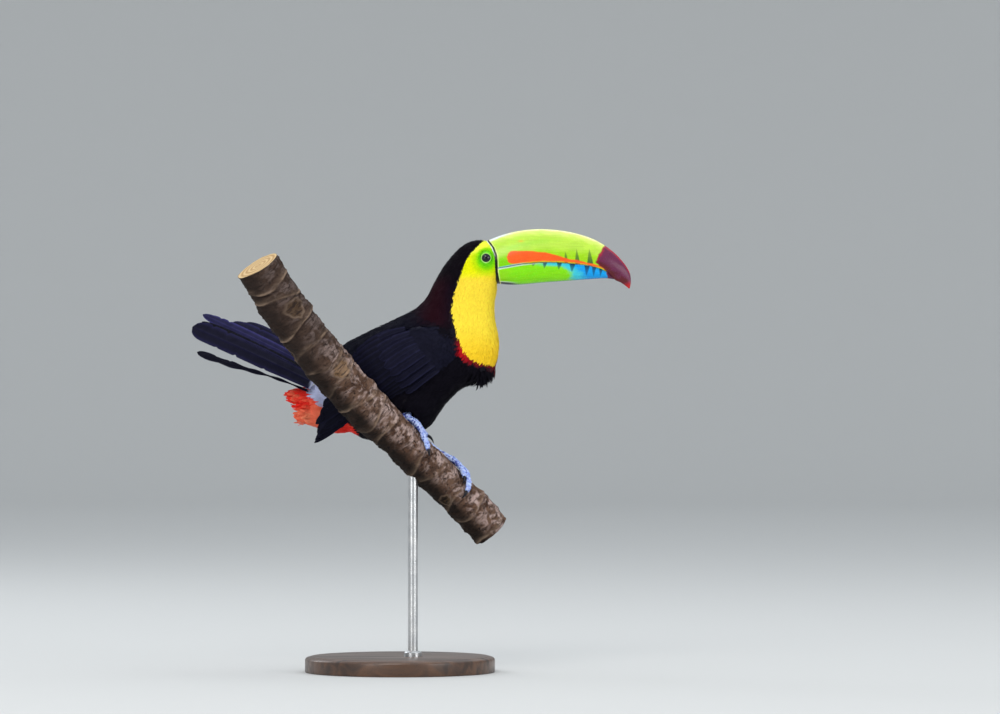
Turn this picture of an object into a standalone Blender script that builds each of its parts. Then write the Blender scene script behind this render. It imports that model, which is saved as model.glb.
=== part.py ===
"""Life-size still model of a keel-billed toucan gripping a cut length of branch on a plain stand.

The bird faces +X with its right side towards -Y; +Z is up. All the shape constants are in
millimetres and are turned into metres when each mesh is written.
"""
import math

import bmesh
import bpy
import numpy as np
from mathutils import Vector

MM = 0.001

# ---- driving dimensions, mm -------------------------------------------------------------
GAP = 0.3                 # clearance between touching pieces
BODY_SIDE = 15.0          # mid-plane of the head, to the left of the stand's centre
YAW = 0.10                # sideways drift of the mid-plane per mm towards the tail
YAW_START = 60.0          # the drift starts behind this X
HEAD_SIDES = 24
TRUNK_SIDES = 24

EYE_AT = (86.0, 414.0)    # eye centre, X and Z
EYE_SIDE = 13.7           # eyeball centre, out from the mid-plane
EYE_RADIUS = 7.0

PERCH_RADIUS = 19.5
PERCH_SIDE = 0.0          # Y of the branch where the bird stands
PERCH_SLOPE = 0.28        # drift of the branch towards -Y per mm of climb
PERCH_HEART = (32.0, 201.4)
PERCH_LINE = ((-139, 405), (-118.5, 371), (-97, 340.5), (-47, 279.5), (32, 201.4), (71, 163), (91, 141))

TOE_RADIUS = 3.0

TAIL_BASE = (-80.5, 291.5)
TAIL_PITCH = 27.0         # degrees that the tail is cocked
TAIL_ROLL = 50.0          # degrees that the fan is rolled, right edge low

BASE_RADIUS = 95.0
BASE_HEIGHT = 16.0
BASE_SIDES = 40
ROD_RADIUS = 5.0
ROD_X = 13.0

# body sections: dorsal X Z, ventral X Z, half-width, egg (narrower back when positive)
BODY = (
    (86.6, 431.8, 98.0, 388.0, 18.2, 0.10),
    (78.0, 433.0, 97.6, 380.0, 20.6, 0.12),
    (66.5, 430.3, 95.6, 371.0, 22.0, 0.10),
    (55.0, 421.5, 95.4, 361.0, 22.5, 0.06),
    (43.5, 407.5, 96.4, 349.0, 24.0, 0.02),
    (34.0, 391.5, 99.6, 335.0, 26.5, 0.00),
    (26.0, 375.5, 99.4, 319.0, 30.5, 0.00),
    (16.0, 365.0, 95.8, 303.0, 35.0, 0.00),
    (0.0, 356.0, 84.0, 290.5, 38.5, 0.00),
    (-21.0, 346.5, 63.0, 283.5, 40.0, 0.00),
    (-41.0, 337.0, 45.0, 266.5, 40.0, 0.00),
    (-58.0, 327.5, 30.5, 247.0, 38.0, 0.02),
    (-71.0, 315.0, 2.0, 236.0, 34.5, 0.02),
    (-80.0, 303.0, -26.0, 229.0, 28.0, 0.00),
    (-85.0, 294.0, -46.0, 237.0, 21.0, 0.00),
    (-87.0, 286.0, -62.0, 248.0, 14.0, 0.00),
)
HEAD_ENDS = 3.2           # section number where the head gives way to the neck
NECK_ENDS = 6.3           # section number where the neck gives way to the trunk

# bill: culmen X Z, gape X Z, half-width
UPPER_BILL = (
    (87.0, 431.2, 96.0, 403.4, 17.0),
    (103.0, 437.6, 109.0, 405.9, 17.3),
    (121.0, 441.7, 123.0, 408.3, 16.8),
    (140.0, 443.2, 141.0, 409.9, 15.8),
    (160.0, 441.9, 158.0, 409.8, 14.4),
    (180.0, 437.9, 175.0, 408.4, 12.8),
    (198.0, 431.0, 190.0, 406.6, 11.0),
    (213.0, 421.0, 202.0, 403.2, 9.0),
    (224.0, 409.6, 209.5, 399.0, 6.8),
    (230.0, 399.5, 215.0, 392.9, 4.4),
    (231.2, 391.0, 222.0, 389.4, 2.4),
    (230.2, 383.6, 229.2, 383.9, 0.7),
)
# gape X, underside X Z, half-width
LOWER_BILL = (
    (96.0, 98.0, 388.4, 15.8),
    (116.0, 116.0, 387.3, 15.6),
    (141.0, 145.0, 389.7, 14.2),
    (166.0, 168.0, 391.4, 12.2),
    (188.0, 189.0, 392.9, 9.8),
    (204.0, 205.0, 393.8, 6.8),
    (213.8, 214.2, 393.0, 2.6),
)
BILL_ROOT = ((388.0, 97.9), (400.6, 95.8), (410.0, 95.6), (417.0, 95.0), (424.5, 92.2), (431.8, 87.0))

# folded wing sections: centre X Z, half-height, half-thickness, distance from the mid-plane
WING = (
    (57.0, 334.0, 11.0, 4.0, 31.0),
    (43.0, 330.0, 23.0, 6.5, 36.0),
    (15.0, 318.0, 30.0, 7.0, 38.5),
    (-15.0, 301.0, 29.0, 6.5, 38.0),
    (-42.0, 281.0, 24.0, 5.0, 33.5),
    (-61.0, 262.0, 16.0, 3.4, 28.0),
    (-74.0, 246.0, 8.5, 2.0, 24.0),
    (-85.5, 231.0, 1.6, 0.9, 21.0),
)
WING_LEAN = (-0.66, 0.75)  # from the lower to the upper wing edge, X and Z

WING_ROUND = 0.0025        # how fast the wing curves in towards its edges

# the upper wing tip: centre X Z, half-width, half-thickness, distance from the mid-plane
WING_TIP = (
    (-58.0, 276.0, 9.0, 1.8, 27.5),
    (-68.2, 264.4, 7.5, 1.2, 25.3),
    (-77.125, 254.25, 4.8, 0.675, 23.375),
    (-83.5, 247.0, 0.9, 0.3, 22.0),
)

# undertail coverts: top X Z, bottom X Z, half-width
COVERTS = (
    (-58.0, 283.0, -46.0, 240.0, 17.0),
    (-74.0, 287.0, -64.0, 237.5, 19.0),
    (-89.0, 286.0, -82.0, 243.0, 18.0),
    (-101.0, 285.0, -97.0, 247.5, 14.0),
    (-109.0, 283.0, -106.5, 254.0, 9.0),
    (-113.0, 276.0, -112.0, 264.0, 3.0),
)

# tail feathers: fan angle, length, half-width, side offset at the root, lift in the stack
FEATHERS = (
    (-0.5, 139.0, 10.2, -10.0, 2.4),
    (2.2, 140.0, 10.2, 5.0, 1.6),
    (2.8, 109.0, 9.0, 14.0, 0.6),
    (4.5, 98.0, 8.4, 19.0, -0.4),
    (-9.0, 123.0, 4.0, -15.0, 1.0),
)

COLOURS = {
    "black": ((0.012, 0.011, 0.016, 1.0), 0.55),
    "wing": ((0.018, 0.019, 0.035, 1.0), 0.45),
    "green": ((0.35, 0.66, 0.03, 1.0), 0.5),
    "bill": ((0.36, 0.68, 0.02, 1.0), 0.3),
    "lower": ((0.10, 0.45, 0.30, 1.0), 0.3),
    "eye": ((0.01, 0.012, 0.02, 1.0), 0.08),
    "red": ((0.85, 0.06, 0.02, 1.0), 0.6),
    "foot": ((0.12, 0.20, 0.62, 1.0), 0.5),
    "claw": ((0.02, 0.02, 0.025, 1.0), 0.35),
    "bark": ((0.20, 0.15, 0.12, 1.0), 0.85),
    "base": ((0.06, 0.05, 0.045, 1.0), 0.4),
    "rod": ((0.30, 0.30, 0.31, 1.0), 0.3),
}


def clear_scene():
    for item in list(bpy.data.objects):
        bpy.data.objects.remove(item, do_unlink=True)


def material(name, key):
    colour, rough = COLOURS[key]
    made = bpy.data.materials.new(name)
    made.use_nodes = True
    shader = made.node_tree.nodes["Principled BSDF"]
    shader.inputs["Base Color"].default_value = colour
    shader.inputs["Roughness"].default_value = rough
    shader.inputs["Metallic"].default_value = 1.0 if key == "rod" else 0.0
    return made


def side(x):
    """Y of the bird's mid-plane at a given X."""
    return BODY_SIDE + YAW * max(0.0, YAW_START - x)


def smooth_line(points, at):
    """A smooth curve through the points, read at the parameters in `at` (0 is the first)."""
    pts = np.array(points, float)
    last = len(pts) - 1
    out = []
    for u in at:
        u = min(max(float(u), 0.0), float(last))
        i = min(int(u), last - 1)
        t = u - i
        p0 = pts[max(i - 1, 0)]
        p1, p2 = pts[i], pts[i + 1]
        p3 = pts[min(i + 2, last)]
        m1 = (p2 - p0) * (0.5 if i > 0 else 1.0)
        m2 = (p3 - p1) * (0.5 if i + 2 <= last else 1.0)
        h = (2 * t**3 - 3 * t**2 + 1, t**3 - 2 * t**2 + t, -2 * t**3 + 3 * t**2, t**3 - t**2)
        out.append(h[0] * p1 + h[1] * m1 + h[2] * p2 + h[3] * m2)
    return np.array(out)


def solid(name, rings, key, ends=("flat", "flat"), hidden=False):
    """One closed mesh through rings of equal size; each end is flat, or a ladder across Y."""
    mesh = bmesh.new()
    count = len(rings[0])
    rows = [[mesh.verts.new(Vector(p) * MM) for p in ring] for ring in rings]
    for a, b in zip(rows, rows[1:]):
        for k in range(count):
            n = (k + 1) % count
            mesh.faces.new((a[k], a[n], b[n], b[k]))
    for row, kind in ((rows[0], ends[0]), (rows[-1], ends[1])):
        if kind == "flat":
            mesh.faces.new(row)
            continue
        low, high = 1, count - 1
        mesh.faces.new((row[0], row[low], row[high]))
        while high - low > 2:
            mesh.faces.new((row[low], row[low + 1], row[high - 1], row[high]))
            low, high = low + 1, high - 1
        if high - low == 2:
            mesh.faces.new((row[low], row[low + 1], row[high]))
    bmesh.ops.recalc_face_normals(mesh, faces=mesh.faces)
    bmesh.ops.triangulate(mesh, faces=mesh.faces)
    data = bpy.data.meshes.new(name)
    mesh.to_mesh(data)
    mesh.free()
    data.shade_smooth()
    data.set_sharp_from_angle(angle=math.radians(40))
    data.materials.append(material(name, key))
    made = bpy.data.objects.new(name, data)
    bpy.context.scene.collection.objects.link(made)
    if hidden:
        hide(made)
    return made


def hide(made):
    made.hide_render = True
    made.display_type = "WIRE"


def swollen(source, name, by=GAP):
    """A hidden cutter: the same solid with its surface moved outwards."""
    data = source.data.copy()
    data.name = name
    mesh = bmesh.new()
    mesh.from_mesh(data)
    mesh.normal_update()
    moves = [v.normal * by * MM * max(1.0, min(1.6, v.calc_shell_factor())) for v in mesh.verts]
    for v, move in zip(mesh.verts, moves):
        v.co += move
    mesh.to_mesh(data)
    mesh.free()
    made = bpy.data.objects.new(name, data)
    bpy.context.scene.collection.objects.link(made)
    hide(made)
    return made


def combine(target, others, operation):
    for other in others:
        step = target.modifiers.new(operation.title() + "_" + other.name, "BOOLEAN")
        step.operation = operation
        step.solver = "EXACT"
        step.object = other


def section_ring(section, sides):
    """An upright oval ring between a dorsal and a ventral point, straight across the bird."""
    dx, dz, vx, vz, half, egg = section
    ring = []
    for k in range(sides):
        angle = 2 * math.pi * k / sides
        c, s = math.cos(angle), math.sin(angle)
        x = (dx + vx) / 2 + (dx - vx) / 2 * c
        z = (dz + vz) / 2 + (dz - vz) / 2 * c
        ring.append((x, side(x) + half * s * (1 - egg * c), z))
    return ring


def shifted(ring, by):
    """The ring moved along its own plane's normal."""
    a, b, c = Vector(ring[0]), Vector(ring[len(ring) // 4]), Vector(ring[len(ring) // 2])
    normal = (b - a).cross(c - a).normalized()
    return [tuple(Vector(p) + normal * by) for p in ring]


def root_x(z):
    heights = [p[0] for p in BILL_ROOT]
    return float(np.interp(z, heights, [p[1] for p in BILL_ROOT]))


def body_rings(start, end, count, sides):
    rings = []
    for u in np.linspace(start, end, count):
        ring = section_ring(smooth_line(BODY, [u])[0], sides)
        fade = max(0.0, 1.0 - u / 0.8)
        if fade > 0:
            straight = lambda z: np.interp(z, (388.0, 431.8), (98.0, 86.6))
            ring = [(x + fade * (root_x(z) - straight(z)), y, z) for x, y, z in ring]
        rings.append(ring)
    return rings


def make_body():
    """Head, neck and trunk: one flowing shape cut into three at planes with a small gap."""
    last = len(BODY) - 1
    head = body_rings(0.0, HEAD_ENDS, 9, HEAD_SIDES)
    head[0] = [(x - GAP / 2, y, z) for x, y, z in head[0]]
    probe = shifted(head[-1], 1.0)
    ahead = 1.0 if probe[0][0] < head[-1][0][0] else -1.0
    head[-1] = shifted(head[-1], -ahead * GAP / 2)
    neck = body_rings(HEAD_ENDS, NECK_ENDS, 7, HEAD_SIDES)
    neck[0] = shifted(neck[0], ahead * GAP / 2)
    neck[-1] = shifted(neck[-1], -ahead * GAP / 2)
    trunk = body_rings(NECK_ENDS, last, 13, TRUNK_SIDES)
    trunk[0] = shifted(trunk[0], ahead * GAP / 2)
    ladder = ("ladder", "ladder")
    return (solid("head", head, "green", ladder), solid("neck", neck, "black", ladder),
            solid("trunk", trunk, "black", ladder))


def bill_ring(near, far, half, power, steps):
    """Half-section from the ridge point `far` to the flat gape at `near`, both sides."""
    right = []
    for k in range(steps + 1):
        t = k / steps
        along = 1.0 - (1.0 - t) ** 1.25
        w = half * max(0.0, 1.0 - along**2.2) ** power
        x = near[0] + (far[0] - near[0]) * along
        z = near[1] + (far[1] - near[1]) * along
        right.append((x, w, z))
    ring = [(right[-1][0], side(right[-1][0]), right[-1][2])]
    ring += [(x, side(x) - w, z) for x, w, z in reversed(right[:-1])]
    ring += [(x, side(x) + w, z) for x, w, z in right[:-1]]
    return ring


def make_bill():
    upper = []
    gape = []
    for u in np.linspace(0, len(UPPER_BILL) - 1, 17):
        cx, cz, gx, gz, half = smooth_line(UPPER_BILL, [u])[0]
        upper.append(bill_ring((gx, gz), (cx, cz), half, 0.62, 8))
        gape.append((gx, gz))
    lower = []
    for u in np.linspace(0, len(LOWER_BILL) - 1, 11):
        gx, ux, uz, half = smooth_line(LOWER_BILL, [u])[0]
        gz = float(np.interp(gx, [g[0] for g in gape], [g[1] for g in gape])) - 1.5 * GAP
        lower.append(bill_ring((gx, gz), (ux, uz), half, 0.5, 6))
    for rings in (upper, lower):
        rings[0] = [(root_x(z) + GAP / 2, y, z) for x, y, z in rings[0]]
    ladder = ("ladder", "ladder")
    return solid("bill_upper", upper, "bill", ladder), solid("bill_lower", lower, "lower", ladder)


def ball(name, centre, radius, key, hidden=False):
    mesh = bmesh.new()
    bmesh.ops.create_uvsphere(mesh, u_segments=12, v_segments=7, radius=radius * MM)
    for v in mesh.verts:
        v.co = Vector((v.co.x, -v.co.z, v.co.y)) + Vector(centre) * MM
    bmesh.ops.recalc_face_normals(mesh, faces=mesh.faces)
    data = bpy.data.meshes.new(name)
    mesh.to_mesh(data)
    mesh.free()
    data.shade_smooth()
    data.materials.append(material(name, key))
    made = bpy.data.objects.new(name, data)
    bpy.context.scene.collection.objects.link(made)
    if hidden:
        hide(made)
    return made


def make_eyes(head):
    for name, turn in (("eye_right", -1), ("eye_left", 1)):
        x, z = EYE_AT
        eye = ball(name, (x, side(x) + turn * EYE_SIDE, z), EYE_RADIUS, "eye")
        combine(head, [swollen(eye, "socket_" + name)], "DIFFERENCE")


def perch_points(count):
    """Centre line of the branch as X, Y, Z, radius, with the climb s from its heart point."""
    flat = smooth_line(PERCH_LINE, np.linspace(0, len(PERCH_LINE) - 1, 241))
    steps = np.hypot(*np.diff(flat, axis=0).T)
    run = np.concatenate([[0.0], np.cumsum(steps)])
    heart = np.argmin(np.hypot(flat[:, 0] - PERCH_HEART[0], flat[:, 1] - PERCH_HEART[1]))
    climb = run[heart] - run
    at = np.linspace(climb[0], climb[-1], count)
    x = np.interp(-at, -climb, flat[:, 0])
    z = np.interp(-at, -climb, flat[:, 1])
    y = PERCH_SIDE - PERCH_SLOPE * at
    return at, np.stack([x, y, z], axis=1)


CLIMB, CENTRES = perch_points(121)


def perch_frame(s):
    """Centre, climb direction, top direction and camera-side direction at the climb s."""
    def centre(v):
        return Vector([float(np.interp(-v, -CLIMB, CENTRES[:, k])) for k in range(3)])
    here = centre(s)
    along = (centre(s + 4) - centre(s - 4)).normalized()
    flat = Vector((along.z, 0.0, -along.x)).normalized()
    if flat.z < 0:
        flat = -flat
    top = (flat - along * flat.dot(along)).normalized()
    near = along.cross(top).normalized()
    if near.y > 0:
        near = -near
    return here, along, top, near


def perch_radius(s):
    rise = min(max((s - 30.0) / 90.0, 0.0), 1.0)
    return PERCH_RADIUS + 2.7 * rise * rise * (3 - 2 * rise) + 0.4 * math.sin(s * 0.09 + 0.6)


def on_perch(s, around, lift):
    """A point above the bark: s up the branch, degrees round it towards -Y, height over it."""
    here, _, top, near = perch_frame(s)
    angle = math.radians(around)
    reach = perch_radius(s) + lift
    return here + (top * math.cos(angle) + near * math.sin(angle)) * reach


def make_perch():
    low, high = float(CLIMB.min()), float(CLIMB.max())
    rings = []
    for s in np.linspace(low, high, 17):
        inner = min(max(s, low + 4), high - 4)
        _, along, top, near = perch_frame(inner)
        here = perch_frame(s)[0]
        r = perch_radius(s)
        rings.append([tuple(here + (top * math.cos(a) + near * math.sin(a)) * r)
                      for a in [2 * math.pi * k / 22 for k in range(22)]])
    return solid("perch", rings, "bark")


def tube(name, path, radii, key, sides=7, hidden=False):
    """A round tube along the path with flat ends; radii are read evenly along it."""
    pts = [Vector(p) for p in path]
    up = Vector((0.3, 0.9, 0.2)).normalized()
    rings = []
    for k, p in enumerate(pts):
        ahead = (pts[min(k + 1, len(pts) - 1)] - pts[max(k - 1, 0)]).normalized()
        across = (up - ahead * up.dot(ahead)).normalized()
        other = ahead.cross(across)
        up = across
        r = float(np.interp(k / (len(pts) - 1), np.linspace(0, 1, len(radii)), radii))
        rings.append([tuple(p + (across * math.cos(a) + other * math.sin(a)) * r)
                      for a in [2 * math.pi * j / sides for j in range(sides)]])
    return solid(name, rings, key, hidden=hidden)


# toe routes: climb, degrees round the branch and lift at each knuckle, toe by toe
TOES = {
    "right": (
        ((52, -26, 3.4), (42, 2, 4.0), (34, 30, 3.2), (28, 44, 3.4), (23, 54, 2.8)),
        ((52, -30, 3.4), (42, -28, 4.2), (33, -22, 3.2), (27, -14, 2.8)),
        ((54, -34, 3.4), (59, -62, 4.0), (61, -95, 3.2), (60, -126, 2.8)),
        ((54, -30, 3.4), (64, -36, 3.8), (71, -52, 2.8)),
    ),
    "left": (
        ((-1, -40, 3.4), (-9, -24, 4.0), (-18, -5, 3.4), (-25, 16, 3.6), (-30, 38, 3.2), (-34, 62, 2.8)),
        ((-1, -38, 3.4), (-10, -18, 4.0), (-18, 8, 3.2), (-24, 32, 2.8)),
        ((-1, -46, 3.4), (-8, -72, 4.0), (-12, -100, 3.2), (-13, -128, 2.8)),
        ((0, -50, 3.4), (5, -80, 3.8), (9, -108, 2.8)),
    ),
}
CLAW_TURNS = {
    "right": ((-6, 13), (-10, 8), (-2, -24), (5, -20)),
    "left": ((-1, 26), (-3, 22), (-1, -24), (3, -22)),
}
HUBS = {"right": (52, -28, 4.4), "left": (-1, -42, 4.4)}


def toe_path(knuckles, count):
    return [on_perch(*row) for row in smooth_line(knuckles, np.linspace(0, len(knuckles) - 1, count))]


def make_foot(which):
    """Two toes forward and two back, joined to a small round hub, gripping the branch."""
    toes, claws = [], []
    for number, knuckles in enumerate(TOES[which], start=1):
        path = toe_path(knuckles, len(knuckles) + 3)
        wave = [TOE_RADIUS * w for w in (1.0, 0.9, 1.02, 0.86, 0.95, 0.80, 0.86, 0.72)]
        toe = tube("foot_" + which if number == 1 else "toe_%s_%d" % (which, number),
                   path, wave, "foot", hidden=number > 1)
        toes.append(toe)
        claws.append(make_claw(which, number, knuckles, path))
    hub = ball("hub_" + which, on_perch(*HUBS[which]), 4.3, "foot", hidden=True)
    room = [swollen(piece, "room_" + piece.name, by=0.8) for piece in toes + claws]
    combine(toes[0], toes[1:] + [hub], "UNION")
    return hub, room


def make_claw(which, number, knuckles, path):
    """A curved claw that starts just past the toe's end and dips to the bark."""
    s, around, lift = knuckles[-1]
    ds, da = CLAW_TURNS[which][number - 1]
    ahead = (path[-1] - path[-2]).normalized()
    start = path[-1] + ahead * GAP
    route = [start]
    for t, high in ((0.35, lift + 0.7), (0.7, lift - 0.2), (1.0, 1.0)):
        route.append(on_perch(s + ds * t, around + da * t, high))
    inner = smooth_line([tuple(p) for p in route], np.linspace(0, 3, 6))
    inner[1] = np.array(start + ahead * 1.2)
    return tube("claw_%s_%d" % (which, number), inner, (1.75, 1.6, 1.3, 1.0, 0.6, 0.3), "claw", sides=5)


def make_leg(which, hub, ankle, room):
    """Tarsus from the hub up into the thigh."""
    foot_end = on_perch(*HUBS[which])
    path = [foot_end.lerp(Vector(ankle), t) for t in (0.0, 0.25, 0.5, 0.75, 1.0)]
    bend = Vector((0.0, 1.5, -1.5))
    path = [p + bend * math.sin(math.pi * k / 4) for k, p in enumerate(path)]
    leg = tube("leg_" + which, path, (3.2, 3.0, 3.3, 3.8, 4.2), "foot")
    combine(leg, [swollen(hub, "ankle_" + which, by=GAP + 0.1)] + room, "DIFFERENCE")
    return leg


def make_thigh(which, stations, leg, trunk, extra):
    """Feathered thigh: round sections from inside the trunk down to the tarsus."""
    rings = []
    for u in np.linspace(0, len(stations) - 1, 7):
        x, y, z, wide, tall = smooth_line(stations, [u])[0]
        rings.append([(x + tall * 0.8 * math.cos(a), y + wide * math.sin(a), z + tall * 0.6 * math.cos(a))
                      for a in [2 * math.pi * k / 14 for k in range(14)]])
    thigh = solid("thigh_" + which, rings, "black")
    combine(thigh, [swollen(leg, "clear_leg_" + which), trunk] + extra, "DIFFERENCE")
    return thigh


def make_wing(which, turn, cutters):
    """Folded wing lying on the flank, ending in two primary tips."""
    lean = Vector((WING_LEAN[0], 0.0, WING_LEAN[1])).normalized()
    rings = []
    for u in np.linspace(0, len(WING) - 1, 12):
        x, z, tall, thick, out = smooth_line(WING, [u])[0]
        ring = []
        for k in range(14):
            a = 2 * math.pi * k / 14
            high = math.cos(a) * (abs(math.cos(a)) ** 0.15)
            p = Vector((x, 0.0, z)) + lean * (tall * high)
            reach = out + thick * math.sin(a) - WING_ROUND * (tall * high) ** 2
            ring.append((p.x, side(p.x) + turn * reach, p.z))
        rings.append(ring)
    wing = solid("wing_" + which, rings, "wing")
    tip = []
    for x, z, wide, thick, out in WING_TIP:
        tip.append([(x + wide * 0.75 * math.cos(a), side(x) + turn * out + thick * math.sin(a),
                     z + wide * 0.6 * math.cos(a)) for a in [2 * math.pi * k / 10 for k in range(10)]])
    blade = solid("primary_" + which, tip, "wing", hidden=True)
    combine(wing, [blade], "UNION")
    combine(wing, cutters, "DIFFERENCE")
    return wing


def make_coverts(cutters):
    """Red undertail coverts, fluffed below the tail's root."""
    rings = []
    for u in np.linspace(0, len(COVERTS) - 1, 10):
        tx, tz, bx, bz, half = smooth_line(COVERTS, [u])[0]
        rings.append(section_ring((tx, tz, bx, bz, half, 0.0), 18))
    coverts = solid("undertail", rings, "red", ("ladder", "ladder"))
    combine(coverts, cutters, "DIFFERENCE")
    return coverts


def make_tail(cutters):
    """A rolled fan of blades with rounded tips, joined over the root."""
    pitch, roll = math.radians(TAIL_PITCH), math.radians(TAIL_ROLL)
    along = Vector((-math.cos(pitch), YAW, math.sin(pitch))).normalized()
    rise = Vector((math.sin(pitch), 0.0, math.cos(pitch)))
    across = (rise * math.sin(roll) + Vector((0, 1, 0)) * math.cos(roll))
    across = (across - along * across.dot(along)).normalized()
    face = across.cross(along).normalized()
    if face.y > 0:
        face = -face
    root = Vector((TAIL_BASE[0], side(TAIL_BASE[0]), TAIL_BASE[1]))
    blades = []
    for number, (fan, length, half, offset, lift) in enumerate(FEATHERS):
        angle = math.radians(fan)
        run = along * math.cos(angle) + across * math.sin(angle)
        wide = across * math.cos(angle) - along * math.sin(angle)
        rings = []
        for t in (0.0, 0.25, 0.5, 0.72, 0.88, 0.96, 1.0):
            w = half * (0.74 + 0.26 * min(1.0, t / 0.4))
            if t > 0.8:
                w = half * (0.96 if t < 0.9 else 0.72 if t < 0.98 else 0.30)
            sway = 2.2 * math.sin(t * 6.5) if half < 5 else 0.0
            centre = (root + across * offset + run * (length * t) + face * (lift * (1 - 0.35 * t))
                      + wide * sway - face * (6.0 * t * t))
            thick = 1.5 - 0.6 * t
            edge = 0.35
            rings.append([tuple(centre + wide * (w * a) + face * (thick * b + edge * c)) for a, b, c in
                          ((0, 1, 0), (0.6, 0.62, 0), (1, 0, 1), (1, 0, -1), (0, -0.7, 0),
                           (-1, 0, -1), (-1, 0, 1), (-0.6, 0.62, 0))])
        name = "tail" if number == 0 else "rectrix_%d" % number
        blades.append(solid(name, rings, "wing", hidden=number > 0))
    combine(blades[0], blades[1:], "UNION")
    combine(blades[0], cutters, "DIFFERENCE")
    return blades[0]


def make_stand(perch_clear):
    """Flat round base and one rod whose top is cut to the branch."""
    edge = 2.0
    rings = []
    for r, z in ((BASE_RADIUS - 1, 0), (BASE_RADIUS, 1), (BASE_RADIUS, BASE_HEIGHT - edge),
                 (BASE_RADIUS - edge * 0.3, BASE_HEIGHT - edge * 0.3), (BASE_RADIUS - edge, BASE_HEIGHT)):
        rings.append([(r * math.cos(a), r * math.sin(a), z)
                      for a in [2 * math.pi * k / BASE_SIDES for k in range(BASE_SIDES)]])
    solid("stand_base", rings, "base")
    s = float(np.interp(ROD_X, CENTRES[:, 0], CLIMB))
    here = perch_frame(s)[0]
    rod = [[(ROD_X + ROD_RADIUS * math.cos(a), here.y + ROD_RADIUS * math.sin(a), z)
            for a in [2 * math.pi * k / 16 for k in range(16)]] for z in (BASE_HEIGHT + GAP, here.z - 8)]
    combine(solid("stand_rod", rod, "rod"), [perch_clear], "DIFFERENCE")


THIGHS = {
    "right": ((14, 2, 285, 18, 20), (12, -4, 271, 13, 15), (10.5, -3, 262, 8, 8)),
    "left": ((14, 34, 280, 17, 20), (18, 30, 263, 13, 15), (19.5, 27, 251, 10, 12), (18.5, 26, 243, 7, 8.5)),
}
ANKLES = {"right": (8.0, 5.0, 269.0), "left": (17.0, 26.5, 243.0)}


def build():
    clear_scene()
    head, neck, trunk = make_body()
    perch = make_perch()
    perch_clear = swollen(perch, "clear_perch", by=GAP + 0.05)
    make_bill()
    make_eyes(head)
    combine(trunk, [perch_clear], "DIFFERENCE")
    trunk_clear = swollen(trunk, "clear_trunk")
    neck_clear = swollen(neck, "clear_neck")
    for which in ("right", "left"):
        hub, room = make_foot(which)
        leg = make_leg(which, hub, ANKLES[which], room)
        heel = swollen(hub, "heel_" + which, by=2.5)
        thigh = make_thigh(which, THIGHS[which], leg, trunk_clear, [perch_clear, heel] + room)
        combine(trunk, [swollen(leg, "hole_leg_" + which), heel] + room, "DIFFERENCE")
    coverts = make_coverts([trunk_clear])
    wing_clear = []
    for which, turn in (("right", -1), ("left", 1)):
        wing = make_wing(which, turn, [trunk_clear, neck_clear, perch_clear])
        wing_clear.append(swollen(wing, "clear_wing_" + which))
    combine(coverts, wing_clear, "DIFFERENCE")
    make_tail([trunk_clear, swollen(coverts, "clear_coverts")] + wing_clear)
    make_stand(perch_clear)


build()
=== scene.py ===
import math

import bmesh
import bpy
import numpy as np
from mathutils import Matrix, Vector
from mathutils.bvhtree import BVHTree


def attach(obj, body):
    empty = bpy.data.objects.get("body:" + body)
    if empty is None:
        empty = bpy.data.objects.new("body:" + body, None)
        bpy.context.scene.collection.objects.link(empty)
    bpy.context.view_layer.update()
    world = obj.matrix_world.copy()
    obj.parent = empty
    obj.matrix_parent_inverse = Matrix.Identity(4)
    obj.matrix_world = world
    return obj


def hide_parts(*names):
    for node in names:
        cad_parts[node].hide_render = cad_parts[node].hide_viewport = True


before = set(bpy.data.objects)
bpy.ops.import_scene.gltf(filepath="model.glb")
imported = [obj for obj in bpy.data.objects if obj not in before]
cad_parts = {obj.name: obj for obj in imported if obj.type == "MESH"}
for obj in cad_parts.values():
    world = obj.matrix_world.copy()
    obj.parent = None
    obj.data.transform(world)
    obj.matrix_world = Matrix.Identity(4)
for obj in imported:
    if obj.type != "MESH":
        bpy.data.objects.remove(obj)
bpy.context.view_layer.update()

# Keel-billed toucan on a cut branch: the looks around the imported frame.
# The bird faces +X, its right side is towards the camera at -Y, and +Z is up.
# Shapes are worked out in millimetres; toMesh turns them into metres.

mm = 0.001
scene = bpy.context.scene


# camera, floor and soft light

stageLook = {
    "lens": 200.0,
    "sensor": 36.0,
    "distance": 5.556,          # metres from the bird
    "eyeHeight": 0.315,         # metres above the floor
    "aside": 0.1,             # metres towards +X
    "floorColour": (0.55, 0.555, 0.55),
    "floorRoughness": 0.8,
    "floorShine": 0.15,
    "floorRadius": 6.4,         # the flat part of the bowl-shaped studio floor
    "sweepRadius": 2.4,
    "sweepSteps": 12,
    "wallTop": 4.6,
    "floorSides": 96,
    "worldColour": (0.9, 0.95, 1.0),
    "worldStrength": 0.95,
    # name: place, size, power, colour
    "lamps": {
        "keyBox": ((-0.7, -2.6, 2.5), (1.6, 1.6), 44.0, (1.0, 0.985, 0.96)),
        "topBox": ((0.5, 0.6, 2.7), (2.2, 1.8), 20.0, (0.97, 0.985, 1.0)),
        "fillBox": ((2.6, -2.2, 0.9), (1.6, 1.6), 34.0, (1.0, 1.0, 1.0)),
        "lowBox": ((-1.5, -2.3, 0.5), (0.9, 0.8), 11.0, (1.0, 1.0, 1.0)),
        "rimBox": ((-2.3, 1.6, 1.4), (1.2, 1.6), 22.0, (0.94, 0.97, 1.0)),
    },
    "lampTarget": (0.02, 0.0, 0.3),
}


def addObject(name, data):
    made = bpy.data.objects.new(name, data)
    scene.collection.objects.link(made)
    return made


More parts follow.
